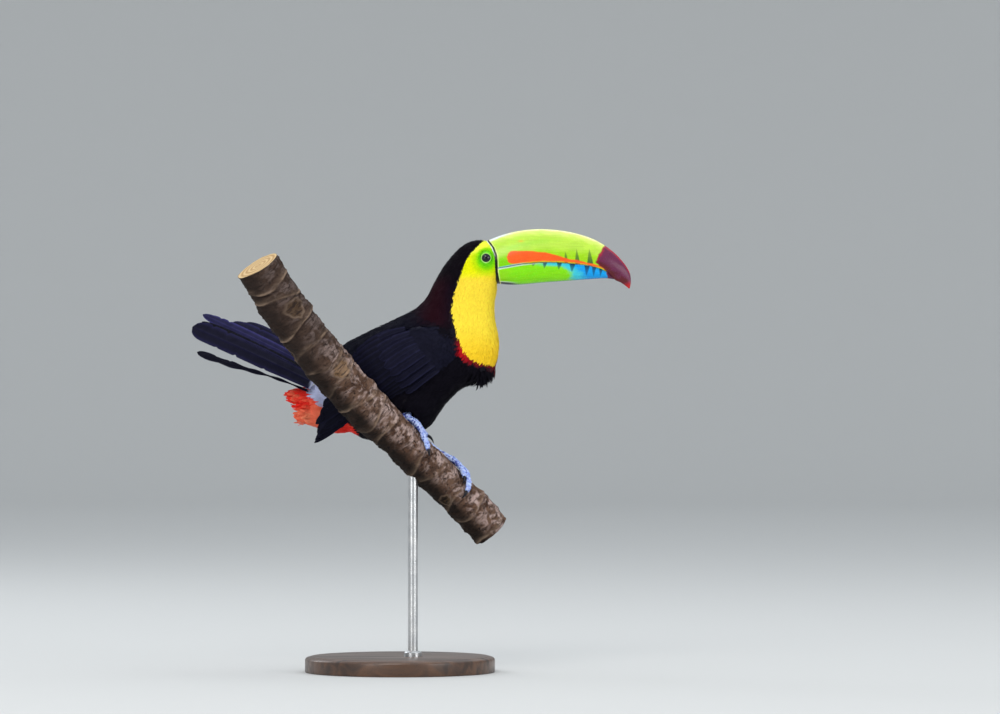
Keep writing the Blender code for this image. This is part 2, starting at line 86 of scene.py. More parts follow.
def makeCamera(s):
    data = bpy.data.cameras.new("camera")
    data.lens = s["lens"]
    data.sensor_width = s["sensor"]
    data.clip_end = 40.0
    camera = addObject("camera", data)
    camera.location = (s["aside"], -s["distance"], s["eyeHeight"])
    camera.rotation_euler = (math.pi / 2, 0.0, 0.0)
    scene.camera = camera
    scene.view_settings.view_transform = "Standard"


def makeFloor(s):
    # a flat disc whose rim sweeps up all the way round, so every view has the same ground
    flat, bend, steps, sides = (s[key] for key in ("floorRadius", "sweepRadius", "sweepSteps", "floorSides"))
    profile = [(0.02, 0.0), (0.5, 0.0), (2.0, 0.0), (flat, 0.0)]
    profile += [(flat + bend * math.sin(a), bend - bend * math.cos(a))
                for a in [math.pi / 2 * k / steps for k in range(1, steps + 1)]]
    profile.append((flat + bend, s["wallTop"]))
    mesh = bmesh.new()
    rows = [[mesh.verts.new((r * math.cos(a), r * math.sin(a), z))
             for a in [2 * math.pi * k / sides for k in range(sides)]] for r, z in profile]
    mesh.faces.new(rows[0])
    for a, b in zip(rows, rows[1:]):
        for k in range(sides):
            mesh.faces.new((a[k], b[k], b[(k + 1) % sides], a[(k + 1) % sides]))
    data = bpy.data.meshes.new("studioFloor")
    mesh.to_mesh(data)
    mesh.free()
    data.shade_smooth()
    floor = addObject("studioFloor", data)
    paint = bpy.data.materials.new("studioFloor")
    paint.use_nodes = True
    shader = paint.node_tree.nodes["Principled BSDF"]
    for key, value in (("Base Color", (*s["floorColour"], 1.0)), ("Roughness", s["floorRoughness"]),
                       ("Specular IOR Level", s["floorShine"])):
        shader.inputs[key].default_value = value
    data.materials.append(paint)


def makeLights(s):
    for name, (place, size, power, colour) in s["lamps"].items():
        data = bpy.data.lights.new(name, "AREA")
        data.shape = "RECTANGLE"
        data.size, data.size_y = size
        data.energy = power
        data.color = colour
        lamp = addObject(name, data)
        lamp.location = place
        towards = Vector(s["lampTarget"]) - lamp.location
        lamp.rotation_euler = towards.to_track_quat("-Z", "Y").to_euler()
    world = bpy.data.worlds.new("softRoom")
    scene.world = world
    world.use_nodes = True
    background = world.node_tree.nodes["Background"]
    background.inputs["Color"].default_value = (*s["worldColour"], 1.0)
    background.inputs["Strength"].default_value = s["worldStrength"]


makeCamera(stageLook)
makeFloor(stageLook)
makeLights(stageLook)
print("stage: camera, floor and lights")


# mesh helpers

def toMesh(name, points, faces, smooth=True, materials=()):
    # faces is a list of arrays, each with faces of one size; points are in millimetres
    data = bpy.data.meshes.new(name)
    points = np.asarray(points, float) * mm
    groups = [np.asarray(f, np.int32) for f in faces if len(f)]
    corners = np.concatenate([f.ravel() for f in groups])
    sizes = np.concatenate([np.full(len(f), f.shape[1], np.int32) for f in groups])
    starts = np.concatenate([[0], np.cumsum(sizes)[:-1]]).astype(np.int32)
    data.vertices.add(len(points))
    data.vertices.foreach_set("co", points.ravel())
    data.loops.add(len(corners))
    data.loops.foreach_set("vertex_index", corners)
    data.polygons.add(len(sizes))
    data.polygons.foreach_set("loop_start", starts)
    data.update(calc_edges=True)
    if smooth:
        data.shade_smooth()
    for paint in materials:
        data.materials.append(paint)
    return addObject(name, data)


def setColour(made, name, colours):
    layer = made.data.color_attributes.new(name, "FLOAT_COLOR", "POINT")
    values = np.ones((len(colours), 4), np.float32)
    values[:, :3] = colours
    layer.data.foreach_set("color", values.ravel())


def setNumber(made, name, numbers):
    layer = made.data.attributes.new(name, "FLOAT", "POINT")
    layer.data.foreach_set("value", np.asarray(numbers, np.float32))


def setVector(made, name, vectors):
    layer = made.data.attributes.new(name, "FLOAT_VECTOR", "POINT")
    layer.data.foreach_set("vector", np.asarray(vectors, np.float32).ravel())


def setMap(made, name, perPoint):
    layer = made.data.uv_layers.new(name=name)
    corners = np.zeros(len(made.data.loops), np.int32)
    made.data.loops.foreach_get("vertex_index", corners)
    layer.data.foreach_set("uv", np.asarray(perPoint, np.float32)[corners].ravel())


def pointsOf(made):
    values = np.zeros(len(made.data.vertices) * 3)
    made.data.vertices.foreach_get("co", values)
    return values.reshape(-1, 3) / mm


def normalsOf(made):
    values = np.zeros(len(made.data.vertices) * 3, np.float32)
    made.data.vertices.foreach_get("normal", values)
    return values.reshape(-1, 3).astype(float)


def finishPiece(made, slot, *nodes):
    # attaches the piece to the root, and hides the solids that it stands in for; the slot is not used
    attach(made, "root")
    if nodes:
        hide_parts(*nodes)
    print("piece:", made.name, len(made.data.polygons), "faces")


def tidyShell(made, weld=0.00002):
    # turns every face outwards, after joining points that meet
    mesh = bmesh.new()
    mesh.from_mesh(made.data)
    if weld:
        bmesh.ops.remove_doubles(mesh, verts=mesh.verts, dist=weld)
    bmesh.ops.recalc_face_normals(mesh, faces=mesh.faces)
    mesh.to_mesh(made.data)
    mesh.free()


def unit(v):
    v = np.asarray(v, float)
    return v / np.maximum(np.linalg.norm(v, axis=-1, keepdims=True), 1e-9)


def squareTo(v, axis):
    # the part of v at a right angle to a unit axis, as a unit direction
    return unit(v - axis * np.sum(v * axis, axis=-1, keepdims=True))


def ease(x, low, high):
    t = np.clip((x - low) / (high - low), 0.0, 1.0)
    return t * t * (3 - 2 * t)


def mix(a, b, amount):
    amount = np.asarray(amount)[..., None]
    return np.asarray(a, float) * (1 - amount) + np.asarray(b, float) * amount


def paintOver(colour, tones, *layers):
    # lays named tones over a colour, each with its own cover from 0 to 1
    for name, cover in layers:
        colour = mix(colour, tones[name], cover)
    return colour


def srgb(red, green, blue):
    values = np.array([red, green, blue], float) / 255.0
    return np.where(values <= 0.04045, values / 12.92, ((values + 0.055) / 1.055) ** 2.4)


def toneTable(**rows):
    # named tones, each given as red, green and blue from 0 to 255
    return {name: srgb(*row) for name, row in rows.items()}


def side(x):
    # Y of the bird's mid-plane
    return 15.0 + 0.1 * np.maximum(0.0, 60.0 - np.asarray(x, float))


def smoothLine(points, at):
    # a smooth curve through the points, read at fractional point numbers
    pts = np.array(points, float)
    last = len(pts) - 1
    at = np.clip(np.asarray(at, float), 0.0, last)
    i = np.minimum(at.astype(int), last - 1)
    t = (at - i)[:, None]
    p0, p1 = pts[np.maximum(i - 1, 0)], pts[i]
    p2, p3 = pts[i + 1], pts[np.minimum(i + 2, last)]
    m1 = (p2 - p0) * np.where(i > 0, 0.5, 1.0)[:, None]
    m2 = (p3 - p1) * np.where(i + 2 <= last, 0.5, 1.0)[:, None]
    return ((2 * t**3 - 3 * t**2 + 1) * p1 + (t**3 - 2 * t**2 + t) * m1
            + (3 * t**2 - 2 * t**3) * p2 + (t**3 - t**2) * m2)


def smoothRun(points, count):
    # evenly numbered places on the smooth curve through the points
    return smoothLine(points, np.linspace(0, len(points) - 1, count))


def runAlong(line):
    # length along a flat line, up to each of its points
    return np.concatenate([[0.0], np.cumsum(np.hypot(*np.diff(line, axis=0).T))])


def readAt(at, length, rows):
    # each column of the rows, read at places along their length
    return np.stack([np.interp(at, length, column) for column in rows.T], axis=-1)


def fullTurn(count):
    return np.linspace(0, 2 * math.pi, count, endpoint=False)


def lattice(rows, columns, closed=False, offset=0):
    # quads over a grid of points numbered row by row
    r = np.arange(rows - 1)[:, None] * columns
    c = np.arange(columns if closed else columns - 1)[None, :]
    n = (c + 1) % columns
    quads = np.stack([r + c, r + n, r + columns + n, r + columns + c], axis=-1)
    return quads.reshape(-1, 4) + offset


def closedGrid(grid):
    # points and faces of a tube given ring by ring, with a face over each end
    rows, columns = grid.shape[:2]
    caps = np.array([np.arange(columns), rows * columns - 1 - np.arange(columns)])
    return grid.reshape(-1, 3), [lattice(rows, columns, True), caps]


def combine(parts):
    # several sets of points and faces as one
    points, faces, total = [], [], 0
    for spots, groups in parts:
        points.append(spots)
        faces += [np.asarray(f) + total for f in groups]
        total += len(spots)
    return np.concatenate(points), faces


def joinMeshes(name, parts, materials=()):
    made = toMesh(name, *combine(parts), materials=materials)
    tidyShell(made)
    return made


def signedDistance(x, z, outline):
    # distance to a closed outline, positive inside
    pts = np.array(outline, float)
    nearest = np.full(x.shape, 1e9)
    inside = np.zeros(x.shape, bool)
    for (ax, az), (bx, bz) in zip(pts, np.roll(pts, -1, axis=0)):
        ex, ez = bx - ax, bz - az
        t = np.clip(((x - ax) * ex + (z - az) * ez) / (ex * ex + ez * ez), 0, 1)
        nearest = np.minimum(nearest, np.hypot(x - ax - t * ex, z - az - t * ez))
        crosses = (az > z) != (bz > z)
        reach = ax + (z - az) / (bz - az if bz != az else 1e-9) * ex
        inside ^= crosses & (x < reach)
    return np.where(inside, nearest, -nearest)


def waves(points, size, seed, octaves=3):
    # smooth repeatable noise, about -1 to 1, from summed sines in random directions
    draw = np.random.default_rng(seed)
    total = np.zeros(len(points))
    for octave in range(octaves):
        scale = 2 * math.pi / (size / 1.9**octave)
        for _ in range(6):
            way = unit(draw.normal(size=3)) * scale * draw.uniform(0.7, 1.3)
            total += np.sin(points @ way + draw.uniform(0, 2 * math.pi)) * 0.55**octave / 6
    return total * 1.7


# shared material effects

def addNode(tree, kind, **values):
    made = tree.nodes.new(kind)
    for key, value in values.items():
        setattr(made, key, value)
    return made


def join(tree, *ends):
    # links outputs to inputs, given in pairs
    for start, end in zip(ends[::2], ends[1::2]):
        tree.links.new(start, end)


def feed(tree, socket, value):
    # puts a socket, a number or a colour of three numbers on an input
    if isinstance(value, bpy.types.NodeSocket):
        join(tree, value, socket)
    elif isinstance(value, (int, float)):
        socket.default_value = value
    else:
        socket.default_value = (*[float(v) for v in value], 1.0)


def setInputs(node, **values):
    # numbers for a node's inputs; an underscore stands for a space
    for key, value in values.items():
        node.inputs[key.replace("_", " ")].default_value = value
    return node


def mathNode(tree, operation, *values, clamp=False):
    # a Math node; each value is a socket or a number
    made = addNode(tree, "ShaderNodeMath", operation=operation, use_clamp=clamp)
    for socket, value in zip(made.inputs, values):
        feed(tree, socket, value)
    return made.outputs[0]


def rangeNode(tree, value, low, high, toLow=0.0, toHigh=1.0, kind="SMOOTHSTEP"):
    made = addNode(tree, "ShaderNodeMapRange", interpolation_type=kind)
    join(tree, value, made.inputs["Value"])
    return setInputs(made, From_Min=low, From_Max=high, To_Min=toLow, To_Max=toHigh).outputs["Result"]


def blendNode(tree, factor, first, second, kind="MIX"):
    # mixes two colours; each is a socket or a colour of three numbers
    made = addNode(tree, "ShaderNodeMix", data_type="RGBA", blend_type=kind)
    for number, value in ((0, factor), (6, first), (7, second)):
        feed(tree, made.inputs[number], value)
    return made.outputs[2]


def tint(tree, base, mask, share, tone):
    # a tone laid over the base where the mask is, up to the share
    return blendNode(tree, mathNode(tree, "MULTIPLY", mask, share), base, tone)


def objectPlace(tree):
    return addNode(tree, "ShaderNodeTexCoord").outputs["Object"]


def stretchedNoise(tree, place, scale, detail, twist=0.0, **seed):
    # noise drawn out along one axis of the places; a seed is given as W
    stretch = setInputs(addNode(tree, "ShaderNodeMapping"), Scale=scale)
    noise = addNode(tree, "ShaderNodeTexNoise", noise_dimensions="4D" if seed else "3D")
    setInputs(noise, Scale=1.0, Detail=detail, Distortion=twist, **seed)
    join(tree, place, stretch.inputs["Vector"], stretch.outputs["Vector"], noise.inputs["Vector"])
    return noise.outputs["Fac"]


def startGroup(name, inputs, outputs):
    tree = bpy.data.node_groups.new(name, "ShaderNodeTree")
    for label, value in inputs:
        tree.interface.new_socket(label, in_out="INPUT", socket_type="NodeSocketFloat").default_value = value
    for label in outputs:
        tree.interface.new_socket(label, in_out="OUTPUT", socket_type="NodeSocketFloat")
    return tree, addNode(tree, "NodeGroupInput"), addNode(tree, "NodeGroupOutput")


def makeGrainGroup():
    # soft mottling on the object's own coordinates; Size is in millimetres
    tree, given, out = startGroup("grain", (("Size", 4.0), ("Low", 0.35), ("High", 0.65), ("Detail", 3.0),
                                            ("Seed", 0.0)), ("Mask",))
    size, low, high, detail, seed = given.outputs[:5]
    noise = addNode(tree, "ShaderNodeTexNoise", noise_dimensions="4D")
    stretch = addNode(tree, "ShaderNodeMapRange", interpolation_type="SMOOTHSTEP")
    join(tree, objectPlace(tree), noise.inputs["Vector"],
         mathNode(tree, "DIVIDE", 1000.0, size), noise.inputs["Scale"],
         detail, noise.inputs["Detail"], seed, noise.inputs["W"],
         noise.outputs["Fac"], stretch.inputs["Value"],
         low, stretch.inputs["From Min"], high, stretch.inputs["From Max"],
         stretch.outputs["Result"], out.inputs["Mask"])
    return tree


def makeBarbGroup():
    # slanting barb lines to each side of a vane's shaft, from the barbs map
    tree, given, out = startGroup("barbLines", (("Count", 9.0), ("Slant", 1.4)), ("Lines",))
    spot = addNode(tree, "ShaderNodeUVMap", uv_map="barbs")
    parts = addNode(tree, "ShaderNodeSeparateXYZ")
    join(tree, spot.outputs["UV"], parts.inputs[0])
    off = mathNode(tree, "ABSOLUTE", mathNode(tree, "SUBTRACT", parts.outputs[0], 0.5))
    slope = mathNode(tree, "MULTIPLY", off, given.outputs["Slant"])
    turns = mathNode(tree, "MULTIPLY", mathNode(tree, "SUBTRACT", parts.outputs[1], slope),
                     given.outputs["Count"])
    wave = mathNode(tree, "SINE", mathNode(tree, "MULTIPLY", turns, 2 * math.pi))
    join(tree, mathNode(tree, "MULTIPLY_ADD", wave, 0.5, 0.5), out.inputs["Lines"])
    return tree


blackTone = (0.0, 0.0, 0.0)
grainGroup = makeGrainGroup()
barbGroup = makeBarbGroup()


def useGroup(tree, group, **values):
    made = addNode(tree, "ShaderNodeGroup")
    made.node_tree = group
    return setInputs(made, **values).outputs


def grain(tree, **values):
    return useGroup(tree, grainGroup, **values)["Mask"]


def startPaint(name, roughness, **sockets):
    paint = bpy.data.materials.new(name)
    paint.use_nodes = True
    tree = paint.node_tree
    return paint, tree, setInputs(tree.nodes["Principled BSDF"], Roughness=roughness, **sockets)


def addBump(tree, shader, height, strength, distance):
    # relief; the distance is in millimetres
    bump = setInputs(addNode(tree, "ShaderNodeBump"), Strength=strength, Distance=distance * mm)
    join(tree, height, bump.inputs["Height"], bump.outputs["Normal"], shader.inputs["Normal"])


def attribute(tree, name):
    return addNode(tree, "ShaderNodeAttribute", attribute_name=name).outputs


def plumagePaint(name, roughness, specular, lines, mottle=0.16, count=9.0):
    # a feather finish: the marking colour, mottled, with barb lines in colour and relief
    paint, tree, shader = startPaint(name, roughness, Specular_IOR_Level=specular)
    barb = useGroup(tree, barbGroup, Count=count, Slant=1.5)["Lines"]
    broad = grain(tree, Size=7.0, Detail=3.0, Seed=1.0)
    fine = grain(tree, Size=0.9, Detail=2.0, Seed=4.0)
    deep = tint(tree, attribute(tree, "plumage")["Color"], broad, mottle, blackTone)
    join(tree, tint(tree, deep, barb, lines, blackTone), shader.inputs["Base Color"],
         rangeNode(tree, broad, 0.0, 1.0, roughness - 0.06, roughness + 0.1), shader.inputs["Roughness"])
    addBump(tree, shader, mathNode(tree, "ADD", barb, mathNode(tree, "MULTIPLY", fine, 0.6)), 0.45, 0.12)
    return paint


# name, roughness, shine, strength of the barb lines
blackCoat = plumagePaint("blackPlumage", 0.6, 0.02, 0.3)
wingCoat = plumagePaint("wingPlumage", 0.46, 0.04, 0.28, count=16.0)
brightCoat = plumagePaint("brightPlumage", 0.62, 0.08, 0.05, mottle=0.04)
ventCoat = plumagePaint("ventPlumage", 0.6, 0.08, 0.14, mottle=0.1)
rumpCoat = plumagePaint("rumpPlumage", 0.62, 0.1, 0.14)


def makeSkinPaint():
    # bare skin with fine grains, in the same markings as the coat
    paint, tree, shader = startPaint("bareSkin", 0.6, Specular_IOR_Level=0.06, Subsurface_Weight=0.08,
                                     Subsurface_Scale=1.2 * mm)
    grains = setInputs(addNode(tree, "ShaderNodeTexVoronoi", feature="SMOOTH_F1"), Scale=1.0 / (0.75 * mm))
    join(tree, objectPlace(tree), grains.inputs["Vector"])
    gap = grains.outputs["Distance"]
    broad = grain(tree, Size=3.0, Detail=3.0, Seed=2.0)
    tone = tint(tree, attribute(tree, "plumage")["Color"], broad, 0.18, blackTone)
    bare = attribute(tree, "bare")["Fac"]
    seams = mathNode(tree, "MULTIPLY", rangeNode(tree, gap, 0.25, 0.75, 0.0, 0.3), bare)
    join(tree, blendNode(tree, seams, tone, (0.01, 0.02, 0.0)), shader.inputs["Base Color"])
    addBump(tree, shader, mathNode(tree, "MULTIPLY", gap, -1.0), 0.5, 0.12)
    return paint


skinPaint = makeSkinPaint()
print("stage: shared effects and plumage finishes")


# one skin under the whole coat

fleshNodes = ("head", "neck", "trunk", "thigh_right", "thigh_left", "undertail", "wing_right", "wing_left")

skinLook = {
    # share of the breast's sag kept under the bib, which leaves room for the tassel of hairs
    "breastReach": ((58, 66, 76, 96), (1.0, 0.93, 0.76, 0.7)),
    # share of the undertail's reach behind the wing tips kept at each height: two lobes with a notch
    "undertailReach": ((245, 250, 256, 261, 266, 275, 284), (1.0, 0.84, 0.68, 0.56, 0.66, 0.82, 1.0)),
    "breastFrom": 300,    # the breast is lifted below this height
    "undertailFrom": -84,  # the undertail is drawn in behind this place
    "thighForward": 5.0,  # reach of the thigh's lower front corner past its solid
    "swell": 0.25,        # closes the gaps between the solids before they are merged
    "voxel": 1.25,
    "smoothing": 7,
    "bodyDepth": 1.15,    # how far the skin lies below the coat's outer surface
    "faceDepth": 0.4,
    "thickest": 30.0,     # how far the thickness is looked for
    "thinShare": 0.22,    # the depth is never more than this share of the local thickness
}

eyeAt = np.array((86.0, 414.0))
eyeSide = 13.7
eyeRadius = 7.0

# outlines of the markings, seen from the side
bibOutline = ((83.4, 430.5), (77, 424.8), (72, 420), (67.3, 413.5), (64, 406), (62.6, 399.5),
              (58.6, 392), (54.6, 380.5), (52, 369), (51, 360.5), (53.2, 352), (55, 342.5),
              (58, 332.6), (63, 319.4), (72, 310.5), (83, 306.9), (92.5, 305), (96, 309.5),
              (98.5, 315), (112, 324), (116, 360), (110, 440), (88, 440))
redOutline = ((-40, 236), (-58, 262), (-79, 266), (-88, 273), (-93, 284), (-94, 306),
              (-126, 306), (-130, 262), (-105, 236), (-60, 222))
whiteOutline = ((-60, 318), (-66, 290), (-64, 262), (-79, 266), (-88, 273),
                (-93, 284), (-95, 318))

markTones = toneTable(
    body=(17, 15, 23), mantle=(15, 15, 27), crown=(18, 13, 20), nape=(42, 12, 21),
    eyeGreen=(100, 208, 8), leaf=(132, 218, 0), lime=(196, 228, 0), faceYellow=(238, 238, 4),
    brow=(244, 252, 70), bib=(255, 224, 62), bibLow=(250, 206, 38), gorget=(176, 14, 24),
    gorgetDark=(98, 10, 24), rump=(198, 203, 236), vent=(255, 48, 38), ventLight=(255, 136, 100),
    wing=(20, 20, 36),
)


def fromEye(p):
    return np.hypot(p[:, 0] - eyeAt[0], p[:, 2] - eyeAt[1])


def markColour(p):
    # the plumage and skin markings at points in millimetres; skin and coat both use it
    x, z = p[:, 0], p[:, 2]
    rough = waves(p, 9.0, 5, 2)
    bib = signedDistance(x, z, bibOutline) + 0.35 * rough
    nape = np.exp(-((x - 36) / 15.0) ** 2) * ease(z, 342, 358) * (1 - ease(z, 388, 404))
    bright = np.exp(-((x - 62.0) / 6.5) ** 2) * (1 - 0.85 * ease(z, 320, 332))
    wide = 4.4 + 2.6 * bright
    band = ease(bib, -wide, 2.0 - wide) * (1 - ease(z, 327, 335))
    colour = paintOver(markTones["body"], markTones,
                       ("mantle", ease(z - 0.62 * x, 318, 336) * ease(x, -100, -60)),
                       ("crown", ease(z, 385, 400)),
                       ("nape", 0.85 * nape),
                       ("gorgetDark", band),
                       ("gorget", band * (0.1 + 0.9 * bright) * ease(bib, -wide, 3.2 - wide)))
    eye = np.hypot(x - eyeAt[0] - 0.5, (z - eyeAt[1] + 1.0) * 0.92)
    brow = ease(0.55 * z - 0.2 * x - 215.6 + 0.4 * rough, -1.4, 1.4) * ease(eye, 9.0, 12.0)
    face = paintOver(markTones["eyeGreen"], markTones, ("leaf", ease(eye, 6.0, 9.0)),
                     ("lime", ease(eye, 8.5, 12.5)), ("faceYellow", ease(eye, 12.0, 18.0)), ("brow", brow))
    throat = mix(markTones["bib"], markTones["bibLow"], 1 - ease(z, 312, 350))
    colour = mix(colour, mix(throat, face, ease(z, 387, 402)), ease(bib, -0.35, 0.35))
    lobe = ease(waves(p, 14.0, 9, 2), 0.1, 0.9) * 0.5 + 0.7 * ease(264 - z, -4, 4) * ease(-70 - x, -12, 4)
    vent = mix(markTones["vent"], markTones["ventLight"], np.minimum(lobe, 1.0))
    colour = mix(colour, vent, ease(signedDistance(x, z, redOutline), -0.8, 0.8))
    return mix(colour, markTones["rump"], ease(signedDistance(x, z, whiteOutline), -0.8, 0.8))


def mergedCopy(node):
    mesh = bmesh.new()
    mesh.from_mesh(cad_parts[node].data)
    bmesh.ops.remove_doubles(mesh, verts=mesh.verts, dist=0.000005)
    mesh.normal_update()
    return mesh


def plainResult(made, name):
    # the evaluated object as a plain mesh on its own
    scene.view_layers[0].update()
    graph = bpy.context.evaluated_depsgraph_get()
    data = bpy.data.meshes.new_from_object(made.evaluated_get(graph))
    bpy.data.objects.remove(made, do_unlink=True)
    data.name = name
    return addObject(name, data)


def voxelMerge(name, made, voxel, smoothing):
    step = made.modifiers.new("voxels", "REMESH")
    step.mode = "VOXEL"
    step.voxel_size = voxel * mm
    step.use_smooth_shade = True
    relax = made.modifiers.new("relax", "SMOOTH")
    relax.factor = 0.5
    relax.iterations = smoothing
    return plainResult(made, name)


def fleshHull(swell):
    # the flesh solids' points, slightly swollen, their faces, and the solid that each face is from
    points, faces, owners = [], [], []
    for number, node in enumerate(fleshNodes):
        mesh = mergedCopy(node)
        total = len(points)
        points += [tuple((v.co + v.normal * swell * mm) / mm) for v in mesh.verts]
        faces += [[v.index + total for v in f.verts] for f in mesh.faces]
        owners += [number] * len(mesh.faces)
        mesh.free()
    return points, faces, owners


def buildSkin(s):
    points, faces, owners = fleshHull(s["swell"])
    hull = BVHTree.FromPolygons(points, faces)
    skin = voxelMerge("skin", toMesh("skinRaw", points, [np.array(faces)]), s["voxel"], s["smoothing"])
    spots, outward = pointsOf(skin), normalsOf(skin)
    owner = np.array([owners[hull.find_nearest(p)[2]] for p in spots])
    own = BVHTree.FromPolygons(spots.tolist(), [list(f.vertices) for f in skin.data.polygons])
    hits = [own.ray_cast(p - n * 0.05, -n, s["thickest"]) for p, n in zip(spots, outward)]
    thick = np.array([s["thickest"] if hit[0] is None else hit[3] for hit in hits])
    face = (1 - ease(fromEye(spots), 16, 26)) * ease(spots[:, 2], 386, 396)
    depth = s["bodyDepth"] + (s["faceDepth"] - s["bodyDepth"]) * face
    depth = np.minimum(depth, s["thinShare"] * thick) + s["swell"]
    spots = spots - outward * depth[:, None]
    x, z = spots[:, 0], spots[:, 2]
    x -= np.minimum(x - s["undertailFrom"], 0) * (1 - np.interp(z, *s["undertailReach"]))
    x += s["thighForward"] * ease(256 - z, 0, 10) * ease(x, 10, 20)
    z -= np.minimum(z - s["breastFrom"], 0) * ease(x, 56, 59) * (1 - np.interp(x, *s["breastReach"]))
    skin.data.vertices.foreach_set("co", (spots * mm).ravel())
    skin.data.update()
    return skin, owner


skin, skinOwner = buildSkin(skinLook)
skinPoints = pointsOf(skin)
skinNormals = normalsOf(skin)
skinQuads = np.zeros(len(skin.data.loops), np.int32)
skin.data.loops.foreach_get("vertex_index", skinQuads)
skinQuads = skinQuads.reshape(-1, 4)
skinTree = BVHTree.FromPolygons(skinPoints.tolist(), skinQuads.tolist())
quadNormals = unit(skinNormals[skinQuads].sum(axis=1))
skinColour = markColour(skinPoints)
skinColour[np.char.startswith(np.array(fleshNodes)[skinOwner], "wing")] = markTones["wing"]
setColour(skin, "plumage", skinColour)
setNumber(skin, "bare", 1 - ease(fromEye(skinPoints), 8.0, 11.0))
print("stage: skin with", len(skinQuads), "faces")


def snap(points):
    # nearest places on the skin, with smooth normals
    spots = np.empty((len(points), 3))
    index = np.empty(len(points), int)
    for i, p in enumerate(points.tolist()):
        hit = skinTree.find_nearest(p)
        spots[i] = hit[0]
        index[i] = hit[2]
    return spots, quadNormals[index]


# the coat: closed tufts and vanes laid over the skin

# the body's middle line, from the forehead to the tail's root, in X and Z
bodyLine = ((96, 411), (86, 404), (77, 393), (71, 378), (67, 363), (63, 347), (56, 334), (42, 320),
            (21, 312), (2, 301), (-14, 289), (-34, 277), (-53, 268), (-74, 266), (-100, 268), (-125, 272))

coatLook = {
    "seed": 41,
    "turnSeed": 7,
    "candidates": 150000,
    "lengthVary": (0.82, 1.15),
    "widthVary": (0.85, 1.15),
    "riseVary": (0.75, 1.1),
    "sharp": 60,           # edges past this many degrees stay sharp
    "eyeClear": 7.4,       # no tufts grow nearer to the eye's centre
    "yaw": 0.13,           # random turn of each tuft, radians
    "wander": 0.35,        # sideways drift of each tip
    "rootSink": 0.25,
    "bakePatch": 0.003,
    "colourPlace": 0.55,   # share of a tuft's length at which its colour is read
    "hairReach": 2.6,      # how far from the bib's edge the combed-back hairs grow
    "tasselBelow": 311,    # height under which the breast's hairs hang loose
    "tasselHang": 0.95,    # share of the way that they turn to straight down
    "strandLean": 72,      # degrees that the undertail's rear strands stand out
}

# spacing, length, half-width, rise of the tip above the skin, crown, shape
coatSizes = {
    "face": (0.95, 3.0, 0.6, 0.42, 0.07, "tuft"),
    "bib": (1.25, 5.6, 0.95, 0.75, 0.09, "tuft"),
    "nape": (1.45, 6.4, 1.05, 0.85, 0.11, "tuft"),
    "back": (2.3, 10.0, 2.1, 1.15, 0.18, "vane"),
    "breast": (1.8, 9.0, 1.15, 1.05, 0.14, "tuft"),
    "belly": (2.0, 9.5, 1.45, 1.05, 0.15, "tuft"),
    "thigh": (1.75, 8.4, 1.25, 0.95, 0.13, "tuft"),
    "rump": (1.9, 11.0, 1.5, 1.1, 0.15, "tuft"),
    "vent": (1.9, 11.0, 1.2, 1.2, 0.16, "tuft"),
    "wing": (2.8, 9.0, 2.6, 0.85, 0.2, "vane"),
}
coatNames = tuple(coatSizes)
colourPlaces = {"nape": 0.12, "bib": 0.9}     # coats with a colour place of their own


def inCoat(region, name):
    return region == coatNames.index(name)


def axisOf(p):
    # distance along the body's middle line, its direction there, and the angle around it
    line = smoothRun(bodyLine, 160)
    run = runAlong(line)
    way = unit(np.gradient(line, axis=0))
    gap = (p[:, 0, None] - line[:, 0]) ** 2 + (p[:, 2, None] - line[:, 1]) ** 2
    near = gap.argmin(axis=1)
    t = way[near]
    over = (p[:, 0] - line[near, 0]) * -t[:, 1] + (p[:, 2] - line[near, 1]) * t[:, 0]
    around = np.arctan2(p[:, 1] - side(p[:, 0]), -over)
    return run[near] / run[-1], np.stack([t[:, 0], np.zeros(len(p)), t[:, 1]], axis=1), around


def coatRegion(p, owner):
    # which coat covers each place on the skin; a later rule wins over an earlier one
    x, z = p[:, 0], p[:, 2]
    node = np.array(fleshNodes)[owner]
    body = np.isin(node, ("trunk", "undertail"))
    low = z < np.interp(x, [-90, -20, 30, 60, 100], [262, 300, 330, 350, 390])
    bib = signedDistance(x, z, bibOutline) > -0.2
    region = np.full(len(p), coatNames.index("back"))
    for name, mask in (("belly", low), ("breast", low & (x > 36)), ("nape", z > 352 + 0.5 * (40 - x)),
                       ("bib", bib), ("face", bib & (z > 397)),
                       ("thigh", np.char.startswith(node, "thigh")),
                       ("wing", np.char.startswith(node, "wing")),
                       ("vent", body & (signedDistance(x, z, redOutline) > 0)),
                       ("rump", body & (signedDistance(x, z, whiteOutline) > 0))):
        region[mask] = coatNames.index(name)
    return region


def lieAt(p, region):
    # the way the coat lies at each root, before it is turned into the surface
    _, way, _ = axisOf(p)
    leg = unit(way * 0.5 + np.array((0.1, 0.0, -1.0)) * ease(300 - p[:, 2], 0, 40)[:, None] * 1.6)
    for name, lie in (("thigh", leg), ("wing", unit((-142.0, 0.0, -103.0))),
                      ("vent", unit((-1.0, 0.0, -0.02))), ("rump", unit((-1.0, 0.0, 0.22)))):
        way = np.where(inCoat(region, name)[:, None], lie, way)
    return way


